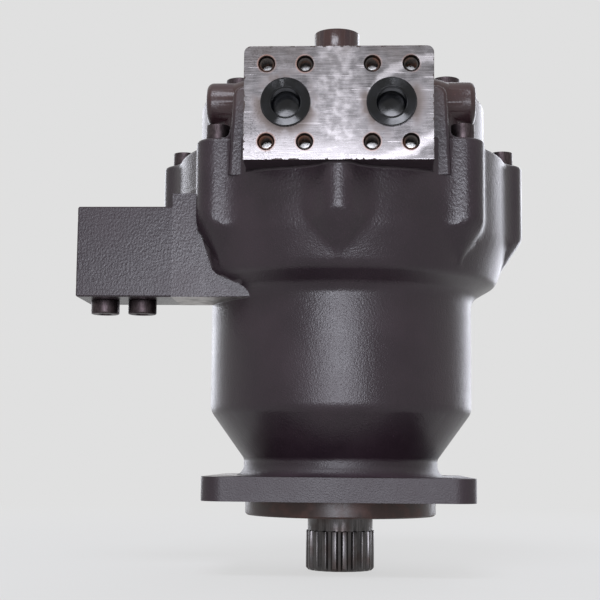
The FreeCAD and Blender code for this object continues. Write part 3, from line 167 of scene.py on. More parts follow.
class PlugSettings(bpy.types.PropertyGroup):
    """Plastic plugs in the two main ports."""

    ring: FloatProperty(
        name="Ring diameter", description="Outer diameter of the plug's flange", unit="LENGTH",
        min=0.02, max=0.06, default=0.036,
    )
    stem: FloatProperty(
        name="Stem diameter", description="Diameter of the part in the port", unit="LENGTH",
        min=0.01, max=0.05, default=0.0248,
    )
    recess: FloatProperty(
        name="Recess diameter", description="Diameter of the open recess", unit="LENGTH",
        min=0.01, max=0.05, default=0.0212,
    )


class EdgeSettings(bpy.types.PropertyGroup):
    """Broken edges of screws, plugs and machined parts."""

    small: FloatProperty(
        name="Small edge", description="Width of the broken edges of small parts", unit="LENGTH",
        min=0.0001, max=0.002, default=0.00045,
    )
    block: FloatProperty(
        name="Block edge", description="Width of the broken edges of the valve block",
        unit="LENGTH", min=0.0001, max=0.003, default=0.0010,
    )
    smooth: FloatProperty(
        name="Smoothing angle", description="Faces that meet at less than this look smooth",
        subtype="ANGLE", min=0, max=math.pi, default=math.radians(34),
    )


class StudioSettings(bpy.types.PropertyGroup):
    """Camera, lamps and floor."""

    camera: FloatVectorProperty(
        name="Camera", description="Place of the camera", subtype="TRANSLATION", size=3,
        default=(0.0200, -1.0668, 0.0330),
    )
    turn: FloatProperty(
        name="Turn", description="How far the camera looks to the left of straight ahead",
        subtype="ANGLE", default=math.radians(2.89),
    )
    tilt: FloatProperty(
        name="Tilt", description="How far the camera looks up", subtype="ANGLE",
        default=math.radians(6.80),
    )
    roll: FloatProperty(
        name="Roll", description="How far the camera leans", subtype="ANGLE", default=0.0092,
    )
    lens: FloatProperty(
        name="Lens", description="Focal length in millimetres on a 36 mm sensor",
        min=10, max=300, default=78.84,
    )
    backdrop: FloatProperty(
        name="Backdrop", description="Brightness of the pale background", min=0, max=1,
        default=0.745,
    )
    key_power: FloatProperty(
        name="Key lamp", description="Power of the front lamp", unit="POWER", min=0,
        default=25.0,
    )
    top_power: FloatProperty(
        name="Top lamp", description="Power of the lamp above the ports", unit="POWER", min=0,
        default=24.0,
    )
    fill_power: FloatProperty(
        name="Fill lamps", description="Power of the lamps at the sides and back",
        unit="POWER", min=0, default=9.0,
    )


SETTINGS = {
    "motor_paint": PaintSettings,
    "motor_metal": MetalSettings,
    "motor_thread": ThreadSettings,
    "motor_plug": PlugSettings,
    "motor_edges": EdgeSettings,
    "motor_studio": StudioSettings,
}


# Materials

class Signal:
    """A socket that Python expressions can use; each operator adds its Math node."""

    def __init__(self, nodes, socket):
        self.nodes = nodes
        self.socket = socket

    def other(self, output):
        """Another output of the same node."""
        return Signal(self.nodes, self.socket.node.outputs[output])

    def math(self, operation, *values):
        """A Math node with its values in order."""
        settings = {"operation": operation}
        return self.nodes.node("ShaderNodeMath", settings, dict(enumerate(values)))

    def __add__(self, value):
        return self.math("ADD", self, value)

    def __sub__(self, value):
        return self.math("SUBTRACT", self, value)

    def __mul__(self, value):
        return self.math("MULTIPLY", self, value)

    def __rsub__(self, value):
        return self.math("SUBTRACT", value, self)

    def __pow__(self, value):
        return self.math("POWER", self, value)

    def __abs__(self):
        return self.math("ABSOLUTE", self)

    __radd__ = __add__
    __rmul__ = __mul__

    def least(self, value):
        return self.math("MINIMUM", self, value)

    def most(self, value):
        return self.math("MAXIMUM", self, value)

    def between(self, low, high):
        """Rises smoothly from 0 at low to 1 at high."""
        return self.nodes.node(
            "ShaderNodeMapRange", {"interpolation_type": "SMOOTHSTEP"},
            {"Value": self, "From Min": low, "From Max": high},
        )


class Nodes:
    """The nodes of a material or of the world."""

    def __init__(self, tree):
        self.tree = tree

    def node(self, kind, settings=None, values=None, output=0):
        """Adds a node with its settings, then the values or links of its sockets."""
        made = self.tree.nodes.new(kind)
        for name, value in (settings or {}).items():
            setattr(made, name, value)
        for name, value in (values or {}).items():
            self.feed(made.inputs[name], value)
        return Signal(self, made.outputs[output])

    def feed(self, socket, value):
        """Links a signal to a socket, or sets the socket to a value."""
        if isinstance(value, Signal):
            self.tree.links.new(value.socket, socket)
        else:
            socket.default_value = value

    def seen(self):
        """1 for what the camera, reflections and glass see, 0 for the light on the object."""
        rays = self.node("ShaderNodeLightPath")
        return rays.most(rays.other("Is Glossy Ray")).most(rays.other("Is Transmission Ray"))

    def show(self, share, plain, glow, output):
        """Sends the plain shader to the output node, and the glow in its stead by the share."""
        surface = self.node("ShaderNodeMixShader", values={0: share, 1: plain, 2: glow})
        self.feed(self.tree.nodes[output].inputs["Surface"], surface)


class Finish(Nodes):
    """A material in the making, with patterns that lie in Object coordinates."""

    def __init__(self, name):
        self.material = bpy.data.materials.new(name)
        self.material.use_nodes = True
        super().__init__(self.material.node_tree)
        self.shader = self.tree.nodes["Principled BSDF"]
        self.place = self.node("ShaderNodeTexCoord", output="Object")

    def shade(self, **values):
        """Sets or links sockets of the shader, named with underscores for spaces."""
        for name, value in values.items():
            self.feed(self.shader.inputs[name.replace("_", " ")], value)
        return self.material

    def axes(self):
        """The three coordinates as signals."""
        across = self.node("ShaderNodeSeparateXYZ", values={0: self.place})
        return across, across.other("Y"), across.other("Z")

    def noise(self, size, detail=2.0, stretch=(1, 1, 1), shift=(0, 0, 0), turn=(0, 0, 0)):
        """Noise with lumps about size apart, drawn out along the axes where stretch is small."""
        place = self.node("ShaderNodeMapping", values={
            "Vector": self.place, "Location": shift, "Rotation": turn, "Scale": stretch,
        })
        return self.node(
            "ShaderNodeTexNoise", values={"Vector": place, "Scale": 1 / size, "Detail": detail},
        )

    def cells(self, size):
        """Distance from the nearest of many scattered points."""
        return self.node("ShaderNodeTexVoronoi", values={"Vector": self.place, "Scale": 1 / size})

    def blend(self, share, colour, other):
        """Colour where share is 0 and other where it is 1."""
        first, second = [
            value if isinstance(value, Signal) else (*value, 1) for value in (colour, other)
        ]
        values = {0: share, 6: first, 7: second}
        return self.node("ShaderNodeMix", {"data_type": "RGBA"}, values, 2)

    def bump(self, height, distance):
        """Normals of a surface that rises by the height times the distance."""
        values = {"Height": height, "Distance": distance}
        return self.node("ShaderNodeBump", values=values, output="Normal")

    def upward(self):
        """1 on faces that look up, -1 on faces that look down."""
        normal = self.node("ShaderNodeNewGeometry", output="Normal")
        return self.node("ShaderNodeSeparateXYZ", values={0: normal}, output="Z")


def span(across, up):
    """Straight distance of a point that lies this far across and this far up."""
    return (across ** 2 + up ** 2) ** 0.5


def scaled(colour, share):
    """The colour made lighter or darker."""
    return tuple(min(part * share, 1) for part in colour)


# Where the cast skin changes, from and to: distances from the shaft axis, then heights
BOSSES_OUT = (0.128, 0.134)
BOSSES_UP = (0.08, 0.09)
CASING_UP = (0.236, 0.242)
# Heights over which the painted reflection on top of the casing comes in
WARM_REFLECTION_UP = (0.268, 0.325)
BROWN_FOOT = (-0.004, 0.0)
DULL_FOOT = (0.022, 0.034)
GLOSSY_TOP = (0.335, 0.345)


def cast_paint(name, paint, rough_everywhere=False):
    """Painted cast iron: fine orange peel, coarse on the bosses, dusty on top, a brownish painted
    reflection above, painted highlights on the lumps and painted shade in the pits.
    """
    finish = Finish(name)
    x, y, z = finish.axes()
    fine = finish.noise(paint.grain, 3.0)
    coarse = finish.noise(paint.coarse_grain, 3.0, stretch=(1, 1, 0.8), shift=(2, 9, 4))
    swell = finish.noise(paint.coarse_grain * 4, 1.0, shift=(3, 1, 2))
    stains = finish.noise(0.055, 3.0, shift=(5, 2, 7))
    pit = 1 - finish.cells(paint.coarse_grain * 3).between(0.02, 0.10)
    if rough_everywhere:
        lumps = coarse * 0.95
    else:
        on_bosses = span(x, y).between(*BOSSES_OUT) * z.between(*BOSSES_UP)
        rough = on_bosses.most(z.between(*CASING_UP) * 0.7)
        lumps = fine * ((1 - rough) * 1.1) + coarse * rough * 1.25
    dust = finish.upward().between(0.35, 1.0) * stains.between(0.25, 0.75)
    # Brownish at the top of the casing as a painted reflection, and below the flange as its own
    # colour
    warm_reflection_and_foot = z.between(*WARM_REFLECTION_UP).most(1 - z.between(*BROWN_FOOT)) * 0.75
    colour = finish.blend(stains.between(0.38, 0.68) * 0.5, paint.colour, paint.faded_and_highlight)
    colour = finish.blend(warm_reflection_and_foot * (0.55 + stains * 0.6), colour, paint.warm_tint_and_reflection)
    # Lighter on the high lumps: a painted highlight
    colour = finish.blend(lumps.between(0.30, 0.85) * 0.3, colour, paint.faded_and_highlight)
    colour = finish.blend(dust * 0.7, colour, scaled(paint.faded_and_highlight, 1.5))
    # Darker in the pits: painted shade
    colour = finish.blend(pit * 0.8, colour, scaled(paint.colour, 0.25))
    foot = 1 - z.between(*DULL_FOOT)
    roughness = paint.gloss + stains.between(0.3, 0.7) * 0.08 + dust * 0.12
    roughness = roughness + foot * 0.11 - z.between(*GLOSSY_TOP) * 0.12
    skin = lumps + swell * 0.35 - pit * 0.3
    return finish.shade(
        Base_Color=colour, Roughness=roughness,
        Specular_IOR_Level=0.36 if rough_everywhere else 0.45,
        Normal=finish.bump(skin, 0.00022),
    )


# Two bright arcs painted on the port face as glare: centre across and up, and radius
LONG_ARC = (21 * MM, 321 * MM, 71 * MM)
SHORT_ARC = (66 * MM, 268 * MM, 46 * MM)


def glare_arc(x, z, arc, wander, width):
    """1 along an arc on the port face whose radius wanders, and 0 beside it."""
    across, up, radius = arc
    gap = abs(span(x - across, z - up) - radius - wander)
    return 1 - gap.between(0.001, width)


def port_face_steel(metal):
    """Ground port face with scratches, oil stains, chipped edges, rust round the holes, and painted
    glare in bright arcs and bands.
    """
    finish = Finish("port_face_steel")
    x, _, z = finish.axes()
    centre = (LEFT_PORT + RIGHT_PORT) / 2
    side = abs(abs(x - centre.x) - abs(LEFT_PORT.x - centre.x))
    rise = abs(z - centre.z)
    port_gap = span(side, rise)
    hole_gap = span(side - BOLTS_ACROSS, rise - BOLTS_UP)
    brushed = finish.noise(0.00075, 3.0, stretch=(0.05, 1, 1))
    cloud = finish.noise(0.019, 4.0, shift=(1, 4, 2))
    mottle = finish.noise(0.0055, 4.0, shift=(6, 0, 3))
    speckle = finish.noise(0.0008, 2.0)
    scratch = finish.noise(0.0018, 2.0, stretch=(0.05, 1, 1), turn=(0, math.radians(16), 0))
    scratch = scratch.between(0.66, 0.71)
    # Bright arcs and a bright band down the middle of the face: painted glare
    sweep = glare_arc(x, z, LONG_ARC, cloud * 0.012, 0.007) * x.between(-0.012, 0.02)
    arc = glare_arc(x, z, SHORT_ARC, mottle * 0.006, 0.005) * z.between(0.285, 0.30)
    middle = 1 - abs(x + 1 * MM).between(0.003, 0.024)
    middle = middle * (0.25 + mottle.between(0.30, 0.80)) * (0.5 + brushed * 0.6)
    painted_glare = sweep.most(arc * 0.8).most(middle)
    # Lighter band along the bottom of the face, mostly left of its right side: painted glare
    glare_band = (1 - z.between(0.249, 0.268)) * (1 - x.between(-0.01, 0.05) * 0.95)
    stain = (1 - port_gap.between(0.019, 0.029)) * cloud.between(0.42, 0.60)
    film = z.between(0.292, 0.332) * cloud.between(0.35, 0.65)
    left_wear = (1 - x.between(-0.062, -0.005)) * cloud.between(0.50, 0.62)
    rust = (1 - hole_gap.between(0.0057, 0.0078)) * cloud.between(0.30, 0.62)
    nicks = finish.noise(0.0042, 3.0, shift=(0, 0, 6)).between(0.52, 0.70)
    edge = (FACE_ACROSS - abs(x - centre.x)).least(FACE_UP - rise)
    chip = 1 - (edge - nicks * metal.chip).between(0.0, 0.0003)
    dark = scaled(metal.face, 0.55)
    light = scaled(metal.face, 3.2)
    colour = finish.blend(cloud.between(0.30, 0.70), dark, metal.face)
    colour = finish.blend(mottle.between(0.35, 0.85) * 0.20, colour, light)
    colour = finish.blend(brushed.between(0.35, 0.70) * 0.16, colour, light)
    # Painted glare: the bands and the arcs are lightened
    colour = finish.blend((glare_band * 0.55).most(painted_glare * 0.75), colour, light)
    colour = finish.blend(speckle.between(0.52, 0.62) * left_wear * 0.8, colour, dark)
    colour = finish.blend(scratch * 0.65, colour, light)
    colour = finish.blend((stain * 0.8).most(film * 0.45), colour, metal.stain)
    colour = finish.blend(rust * 0.8, colour, metal.rust)
    colour = finish.blend(chip, colour, scaled(metal.rust, 0.1))
    roughness = 0.20 + brushed * 0.14 + stain * 0.2 + rust * 0.25 + chip * 0.3
    height = brushed * 0.30 + mottle * 0.35 + scratch * 0.3 + speckle * 0.15 - chip * 2
    return finish.shade(
        Base_Color=colour, Roughness=roughness, Metallic=0.92 - rust * 0.5 - chip * 0.8,
        Normal=finish.bump(height, 0.00003),
    )


def tool_steel(name, colour, roughness, lay, tint=None):
    """Turned or ground metal with fine tool marks along its lay and a few dull patches."""
    finish = Finish(name)
    marks = finish.noise(0.0012, 3.0, stretch=lay)
    patches = finish.noise(0.014, 3.0, shift=(2, 2, 5))
    specks = finish.noise(0.0022, 2.0, shift=(7, 1, 3)).between(0.60, 0.72)
    shade = finish.blend(marks.between(0.3, 0.7), scaled(colour, 0.72), scaled(colour, 1.22))
    shade = finish.blend(patches.between(0.46, 0.70) * 0.6, shade, tint or scaled(colour, 0.55))
    shade = finish.blend(specks * 0.35, shade, scaled(colour, 0.4))
    return finish.shade(
        Base_Color=shade, Metallic=1.0, Normal=finish.bump(marks, 0.00003),
        Roughness=roughness + marks * 0.12 + patches.between(0.45, 0.75) * 0.15,
    )


def dull_part(name, colour, roughness, grain, height, shine):
    """Rubber, plastic, lining or oily skin with a fine grain and lighter rubbed spots."""
    finish = Finish(name)
    grains = finish.noise(grain, 2.0)
    rubbed = finish.noise(0.011, 3.0, shift=(4, 4, 1))
    shade = finish.blend(rubbed.between(0.42, 0.68), scaled(colour, 0.75), scaled(colour, 1.6))
    return finish.shade(
        Base_Color=shade, Roughness=roughness + grains * 0.10 + rubbed.between(0.4, 0.7) * 0.12,
        Specular_IOR_Level=shine, Normal=finish.bump(grains, height),
    )


def studio_floor(level):
    """Pale floor that keeps a faint shadow and blends into the backdrop."""
    finish = Finish("studio_floor")
    grain = finish.noise(0.02, 3.0)
    finish.shade(
        Base_Color=finish.blend(grain, (0.70, 0.70, 0.70), (0.73, 0.73, 0.73)), Roughness=0.8,
    )
    x, y, _ = finish.axes()
    far = span(x, y).between(0.25, 1.5)
    plain = Signal(finish, finish.shader.outputs[0])
    glow = finish.node("ShaderNodeEmission", values={"Color": (level, level, level, 1)})
    finish.show(finish.seen() * (0.80 + far * 0.20), plain, glow, "Material Output")
    return finish.material


# Turned and ground metals: colour, roughness and how the tool marks are drawn out
STEELS = {
    # Light floors of the tapped holes: a painted highlight
    "bright_steel": ((0.78, 0.77, 0.75), 0.30, (1, 1, 1)),
    "dark_screws": ((0.060, 0.047, 0.050), 0.36, (1, 1, 0.4)),
    "bearing_steel": ((0.60, 0.60, 0.62), 0.14, (0.2, 0.2, 1)),
    "ground_steel": ((0.48, 0.48, 0.50), 0.20, (0.3, 0.3, 1)),
    "bronze": ((0.58, 0.37, 0.17), 0.27, (0.3, 0.3, 1)),
    "spring_steel": ((0.22, 0.22, 0.24), 0.30, (1, 1, 1)),
    "block_iron": ((0.33, 0.31, 0.30), 0.33, (0.3, 0.3, 1)),
}

# Parts without a metal shine: colour, roughness, size and height of the grain, and shine
DULL_PARTS = {
    "pilot_steel": ((0.0250, 0.0095, 0.0070), 0.26, 0.0016, 0.00003, 0.4),
    "friction_lining": ((0.22, 0.15, 0.08), 0.75, 0.0008, 0.0002, 0.5),
    "seal_rubber": ((0.016, 0.016, 0.017), 0.55, 0.0011, 0.00005, 0.5),
    "black_plastic": ((0.0015, 0.0017, 0.0025), 0.08, 0.0013, 0.00001, 0.34),
}

FINISHES = {}


class MOTOR_OT_finishes(bpy.types.Operator):
    """Mix a material for each finish of the record, of the dressed pieces and of the floor"""

    bl_idname = "motor.finishes"
    bl_label = "Finishes"

    def execute(self, context):
        paint = context.scene.motor_paint
        metal = context.scene.motor_metal
        FINISHES["paint"] = cast_paint("paint", paint)
        FINISHES["valve_paint"] = cast_paint("valve_paint", paint, rough_everywhere=True)
        FINISHES["port_face"] = port_face_steel(metal)
        # Walls of the ports and tapped holes, painted dark as shade, with real rust patches
        FINISHES["bore_steel"] = tool_steel(
            "bore_steel", (0.075, 0.066, 0.062), 0.34, (1, 0.25, 1), tuple(metal.rust),
        )
        FINISHES["shaft_steel"] = tool_steel(
            "shaft_steel", tuple(metal.shaft), 0.26, (1, 1, 0.05), (0.05, 0.035, 0.03),
        )
        for name, look in STEELS.items():
            FINISHES[name] = tool_steel(name, *look)
        for name, look in DULL_PARTS.items():
            FINISHES[name] = dull_part(name, *look)
        FINISHES["studio_floor"] = studio_floor(context.scene.motor_studio.backdrop)
        return {"FINISHED"}


# Modelling helpers

def pick_none():
    """Leaves edit mode and deselects everything."""
    if bpy.context.object and bpy.context.object.mode != "OBJECT":
        bpy.ops.object.mode_set(mode="OBJECT")
    bpy.ops.object.select_all(action="DESELECT")


def pick(piece):
    """Makes a piece the only selected and the active one."""
    pick_none()
    piece.select_set(True)
    bpy.context.view_layer.objects.active = piece


def edit(piece, kind="VERT"):
    """Opens a piece in edit mode."""
    pick(piece)
    bpy.ops.object.mode_set(mode="EDIT")
    bpy.ops.mesh.select_mode(type=kind)


def apply_modifier(piece, kind, **settings):
    """Adds a modifier with its settings and applies it."""
    pick(piece)
    modifier = piece.modifiers.new(kind.lower(), kind)
    for name, value in settings.items():
        setattr(modifier, name, value)
    bpy.ops.object.modifier_apply(modifier=modifier.name)


def smooth(piece, angle):
    """Shades faces that meet at less than the angle smoothly."""
    pick(piece)
    bpy.ops.object.shade_smooth_by_angle(angle=angle)


def smooth_by_area(piece, angle):
    """Smooth shading in which the large faces stay flat and the fillets turn."""
    smooth(piece, angle)
    apply_modifier(piece, "WEIGHTED_NORMAL", keep_sharp=True, weight=50)


def dress(piece, finish, body=ROOT_BODY):
    """Gives a finished piece its material and slot and lets it ride on its body."""
    if not piece.data.materials:
        piece.data.materials.append(FINISHES[finish])
    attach(piece, body)
    return piece


def joined_copy(node, name):
    """A copy of a CAD node whose loose triangles are joined and whose flat faces are whole."""
    piece = bpy.data.objects.new(name, frame["nodes"][node].data.copy())
    bpy.context.scene.collection.objects.link(piece)
    piece.data.materials.clear()
    edit(piece)
    bpy.ops.mesh.select_all(action="SELECT")
    bpy.ops.mesh.remove_doubles(threshold=0.01 * MM)
    bpy.ops.mesh.dissolve_limited(angle_limit=math.radians(0.6))
    bpy.ops.object.mode_set(mode="OBJECT")
    return piece


def break_edges(piece, width):
    """Bevels the sharp edges a little, as on a part with its burrs taken off."""
    apply_modifier(
        piece, "BEVEL", width=width, segments=2, limit_method="ANGLE",
        angle_limit=math.radians(40), use_clamp_overlap=True, harden_normals=False,
    )


def assign(piece, finish, chosen):
    """Gives the chosen faces another finish."""
    piece.data.materials.append(FINISHES[finish])
    index = len(piece.data.materials) - 1
    for face in piece.data.polygons:
        if chosen(face):
            face.material_index = index


def lathe(name, rings, place, direction):
    """Draws a turned shape ring by ring; a ring is its radius and its height on the axis."""
    pick_none()
    radius, height = rings[0]
    bpy.ops.mesh.primitive_circle_add(
        vertices=ROUND_STEPS, radius=radius, fill_type="NGON", location=(0, 0, 0),
    )
    piece = bpy.context.object
    piece.name = name
    edit(piece, "FACE")
    bpy.ops.mesh.select_all(action="SELECT")
    bpy.ops.transform.translate(value=(0, 0, height))
    for next_radius, next_height in rings[1:]:
        bpy.ops.mesh.extrude_region_move(
            TRANSFORM_OT_translate={"value": (0, 0, next_height - height)}
        )
        scale = next_radius / radius
        bpy.ops.transform.resize(value=(scale, scale, 1), center_override=(0, 0, next_height))
        radius, height = next_radius, next_height
    bpy.ops.mesh.select_all(action="SELECT")
    bpy.ops.mesh.normals_make_consistent(inside=False)
    bpy.ops.object.mode_set(mode="OBJECT")
    settle(piece, place, direction)
    return piece


def settle(piece, place, direction):
    """Puts a piece drawn on the Z axis at its place and applies that to its mesh."""
    pick(piece)
    piece.location = place
    piece.rotation_mode = "QUATERNION"
    piece.rotation_quaternion = Vector((0, 0, 1)).rotation_difference(Vector(direction))
    bpy.ops.object.transform_apply(location=True, rotation=True, scale=True)


# Pieces

# Bores in the port face: just outside their walls, and how far back they and the threads reach
PORT_WALL = 12.8 * MM
PORT_END = -2 * MM
HOLE_WALL = 6.6 * MM
HOLE_END = PORT_FACE + 26 * MM
HOLE_FLOOR = PORT_FACE + 23 * MM
THREAD_START = PORT_FACE + 1.9 * MM

# Screw bosses of the housing: reach from the axis, lowest and highest point in millimetres,
# and between them the place of the pad for the brake valve block
BOSS_REACH = 118 * MM
BOSS_BAND = (171, 236)
PAD_SIDE = -66 * MM
PAD_FRONT = -88 * MM
PAD_BACK = -16 * MM

# Machined parts of the housing: under the flange, the pilot's wall and the cavity
FLANGE_FACE = -0.2 * MM
PILOT_WALL = 75 * MM
PILOT_END = -11 * MM
CAVITY_WALL = 108.5 * MM
CAVITY_END = -12 * MM


def on_port_face(face):
    return face.center.y < PORT_FACE + 0.02 * MM and face.normal.y < -0.9


def in_port_hole(face):
    """Walls and floors of the ports and tapped holes."""
    x, y, z = face.center
    ports = [math.hypot(x - port.x, z - port.z) for port in (LEFT_PORT, RIGHT_PORT)]
    in_port = min(ports) < PORT_WALL and y < PORT_END
    side = abs(abs(x) - RIGHT_PORT.x)
    hole = math.hypot(side - BOLTS_ACROSS, abs(z - RIGHT_PORT.z) - BOLTS_UP)
    in_hole = hole < HOLE_WALL and y < HOLE_END
    return (in_port or in_hole) and not on_port_face(face)


def at_hole_floor(face):
    """Drilled floors of the tapped holes."""
    return in_port_hole(face) and face.center.y > HOLE_FLOOR and face.normal.y < -0.2


def under_flange(face):
    """The pilot and everything else below the flange's face."""
    return face.center.z < FLANGE_FACE


def in_cavity(face):
    """Bored walls inside the housing, which look at the axis."""
    x, y, z = face.center
    inwards = x * face.normal.x + y * face.normal.y < 0
    return math.hypot(x, y) < CAVITY_WALL and inwards and z > CAVITY_END


def near_bosses(place, margin=0):
    """Outside of the rim and the flare under it, away from the pad of the brake valve block."""
    low, high = BOSS_BAND
    out = math.hypot(place.x, place.y) > BOSS_REACH
    band = low * MM + margin < place.z < high * MM - margin
    on_pad = place.x < PAD_SIDE and PAD_FRONT + margin < place.y < PAD_BACK - margin
    return out and band and not on_pad


def select_near_bosses(piece, parts, place_of, margin=0):
    """In edit mode, selects the faces or vertices that lie near the bosses."""
    bpy.ops.mesh.select_all(action="DESELECT")
    mesh = bmesh.from_edit_mesh(piece.data)
    for part in getattr(mesh, parts):
        part.select_set(near_bosses(place_of(part), margin))
    bmesh.update_edit_mesh(piece.data)


def soften_bosses(piece):
    """Cuts the skin round the screw bosses into a fine net and rounds it, as a moulder's fillet."""
    edit(piece, "FACE")
    select_near_bosses(piece, "faces", lambda face: face.calc_center_median())
    bpy.ops.mesh.hide(unselected=True)
    heights = [(BOSS_BAND[0] + 2.6 * step) * MM for step in range(26)]
    turns = [math.radians(1.25 * step) for step in range(144)]
    cuts = [((0, 0, height), (0, 0, 1)) for height in heights]
    cuts += [((0, 0, 0), (math.cos(turn), math.sin(turn), 0)) for turn in turns]
    for place, normal in cuts:
        bpy.ops.mesh.select_all(action="SELECT")
        bpy.ops.mesh.bisect(plane_co=place, plane_no=normal)
    bpy.ops.mesh.reveal(select=False)
    bpy.ops.mesh.select_mode(type="VERT")
    select_near_bosses(piece, "verts", lambda vertex: vertex.co, 2 * MM)
    bpy.ops.mesh.vertices_smooth(factor=0.5, repeat=14)
    bpy.ops.object.mode_set(mode="OBJECT")


def round_pilot(piece):
    """Points the shading normals of the pilot's wall straight out from its axis."""
    normals = [Vector(corner.vector) for corner in piece.data.corner_normals]
    for face in piece.data.polygons:
        level = abs(face.normal.z) < 0.02 and PILOT_END < face.center.z < 0
        if level and math.hypot(face.center.x, face.center.y) > PILOT_WALL:
            for corner in face.loop_indices:
                place = piece.data.vertices[piece.data.loops[corner].vertex_index].co
                normals[corner] = Vector((place.x, place.y, 0)).normalized()
    piece.data.normals_split_custom_set(normals)


class MOTOR_OT_castings(bpy.types.Operator):
    """Copy the housing and the valve casing with joined faces, and finish their machined parts"""

    bl_idname = "motor.castings"
    bl_label = "Castings"

    def execute(self, context):
        angle = context.scene.motor_edges.smooth
        housing = joined_copy("housing", "housing_skin")
        soften_bosses(housing)
        housing.data.materials.append(FINISHES["paint"])
        assign(housing, "pilot_steel", under_flange)
        assign(housing, "block_iron", in_cavity)
        smooth_by_area(housing, angle)
        round_pilot(housing)
        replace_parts(dress(housing, "paint"), "housing")
        casing = joined_copy("valve_casing", "casing_skin")
        casing.data.materials.append(FINISHES["paint"])
        assign(casing, "port_face", on_port_face)
        # Walls of the ports and holes are painted dark as shade, and their floors light as a
        # painted highlight
        assign(casing, "bore_steel", in_port_hole)
        assign(casing, "bright_steel", at_hole_floor)
        smooth_by_area(casing, angle)
        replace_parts(dress(casing, "paint"), "valve_casing")
        return {"FINISHED"}


class MOTOR_OT_valve_block(bpy.types.Operator):
    """Copy the brake valve block with softened edges and a coarse cast skin"""

    bl_idname = "motor.valve_block"
    bl_label = "Brake valve block"

    def execute(self, context):
        edges = context.scene.motor_edges
        block = joined_copy("brake_valve_block", "valve_block_skin")
        break_edges(block, edges.block)
        smooth_by_area(block, edges.smooth)
        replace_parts(dress(block, "valve_paint"), "brake_valve_block")
        return {"FINISHED"}


class MOTOR_OT_port_threads(bpy.types.Operator):
    """Wind the threads of the tapped holes in the port face"""

    bl_idname = "motor.port_threads"
    bl_label = "Port threads"

    def execute(self, context):
        thread = context.scene.motor_thread
        crest = thread.pitch * 0.56
        pick_none()
        bpy.ops.mesh.primitive_circle_add(
            vertices=3, radius=crest, fill_type="NGON", location=(0, 0, 0),
        )
        pattern = bpy.context.object
        pattern.name = "port_thread_1"
        edit(pattern)
        bpy.ops.mesh.select_all(action="SELECT")
        bpy.ops.transform.rotate(value=math.pi / 2, orient_axis="X", center_override=(0, 0, 0))
        bpy.ops.transform.rotate(value=-math.pi / 2, orient_axis="Y", center_override=(0, 0, 0))
        bpy.ops.transform.translate(value=(thread.core / 2 + crest, 0, 0))
        bpy.ops.object.mode_set(mode="OBJECT")
        apply_modifier(
            pattern, "SCREW", axis="Z", angle=2 * math.pi, screw_offset=thread.pitch,
            iterations=round(thread.length / thread.pitch), steps=thread.steps,
            render_steps=thread.steps, use_merge_vertices=False, use_smooth_shade=True,
        )
        edit(pattern)
        bpy.ops.mesh.select_all(action="SELECT")
        bpy.ops.mesh.remove_doubles(threshold=0.001 * MM)
        bpy.ops.mesh.delete_loose()
        bpy.ops.mesh.select_all(action="SELECT")
        bpy.ops.mesh.fill_holes(sides=4)
        bpy.ops.mesh.normals_make_consistent(inside=False)
        bpy.ops.object.mode_set(mode="OBJECT")
        smooth(pattern, context.scene.motor_edges.smooth)
        places = [
            (port.x + BOLTS_ACROSS * across, port.z + BOLTS_UP * up)
            for port in (LEFT_PORT, RIGHT_PORT)
            for across in (-1, 1)
            for up in (-1, 1)
        ]
        copies = [pattern]
        for number in range(2, len(places) + 1):
            copy = bpy.data.objects.new(f"port_thread_{number}", pattern.data.copy())
            context.scene.collection.objects.link(copy)
            copies.append(copy)
        for piece, (x, z) in zip(copies, places):
            settle(piece, (x, THREAD_START, z), (0, 1, 0))
            # The threads take the dark finish of the bores, painted shade
            dress(piece, "bore_steel")
        return {"FINISHED"}


class MOTOR_OT_port_plugs(bpy.types.Operator):
    """Turn the plastic plugs of the two main ports with their dished ring and deep recess"""

    bl_idname = "motor.port_plugs"
    bl_label = "Port plugs"

    def execute(self, context):
        sizes = context.scene.motor_plug
        ring = sizes.ring / 2
        stem = sizes.stem / 2
        recess = sizes.recess / 2
        lip = recess + 1.1 * MM
        front = -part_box("port_plug_left")[0].y + PORT_FACE
        rings = [
            (stem - 0.9 * MM, -15.8 * MM),
            (stem, -14.6 * MM),
            (stem, 0.05 * MM),
            (ring - 0.3 * MM, 0.05 * MM),
            (ring, 0.4 * MM),
            (ring, front - 0.5 * MM),
            (ring - 0.5 * MM, front),
            (ring - 0.9 * MM, front),
            (lip + 0.3 * MM, front - 1.7 * MM),
            (lip, front - 1.45 * MM),
            (recess + 0.3 * MM, front - 1.45 * MM),
            (recess, front - 1.8 * MM),
            (recess - 0.25 * MM, -9.6 * MM),
            (recess - 1.2 * MM, -10.4 * MM),
            (recess * 0.60, -10.1 * MM),
            (recess * 0.30, -9.75 * MM),
            (recess * 0.08, -9.65 * MM),
        ]
        for side, port in (("left", LEFT_PORT), ("right", RIGHT_PORT)):
            plug = lathe(f"port_cap_{side}", rings, (port.x, PORT_FACE, port.z), (0, -1, 0))
            smooth(plug, math.radians(12))
            dress(plug, "black_plastic")
            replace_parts(plug, f"port_plug_{side}")
        return {"FINISHED"}


SMALL_PARTS = (
    "casing_screws", "check_valve_plugs", "relief_plugs", "top_port_plug", "brake_valve_plugs",
    "brake_valve_screws", "drain_plug",
)


class MOTOR_OT_screws(bpy.types.Operator):
    """Copy the screws and threaded plugs with broken edges"""

    bl_idname = "motor.screws"
    bl_label = "Screws and threaded plugs"

    def execute(self, context):
        edges = context.scene.motor_edges
        for node in SMALL_PARTS:
            piece = joined_copy(node, f"{node}_dressed")
            break_edges(piece, edges.small)
            smooth(piece, edges.smooth)
            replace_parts(dress(piece, "dark_screws"), node)
        return {"FINISHED"}


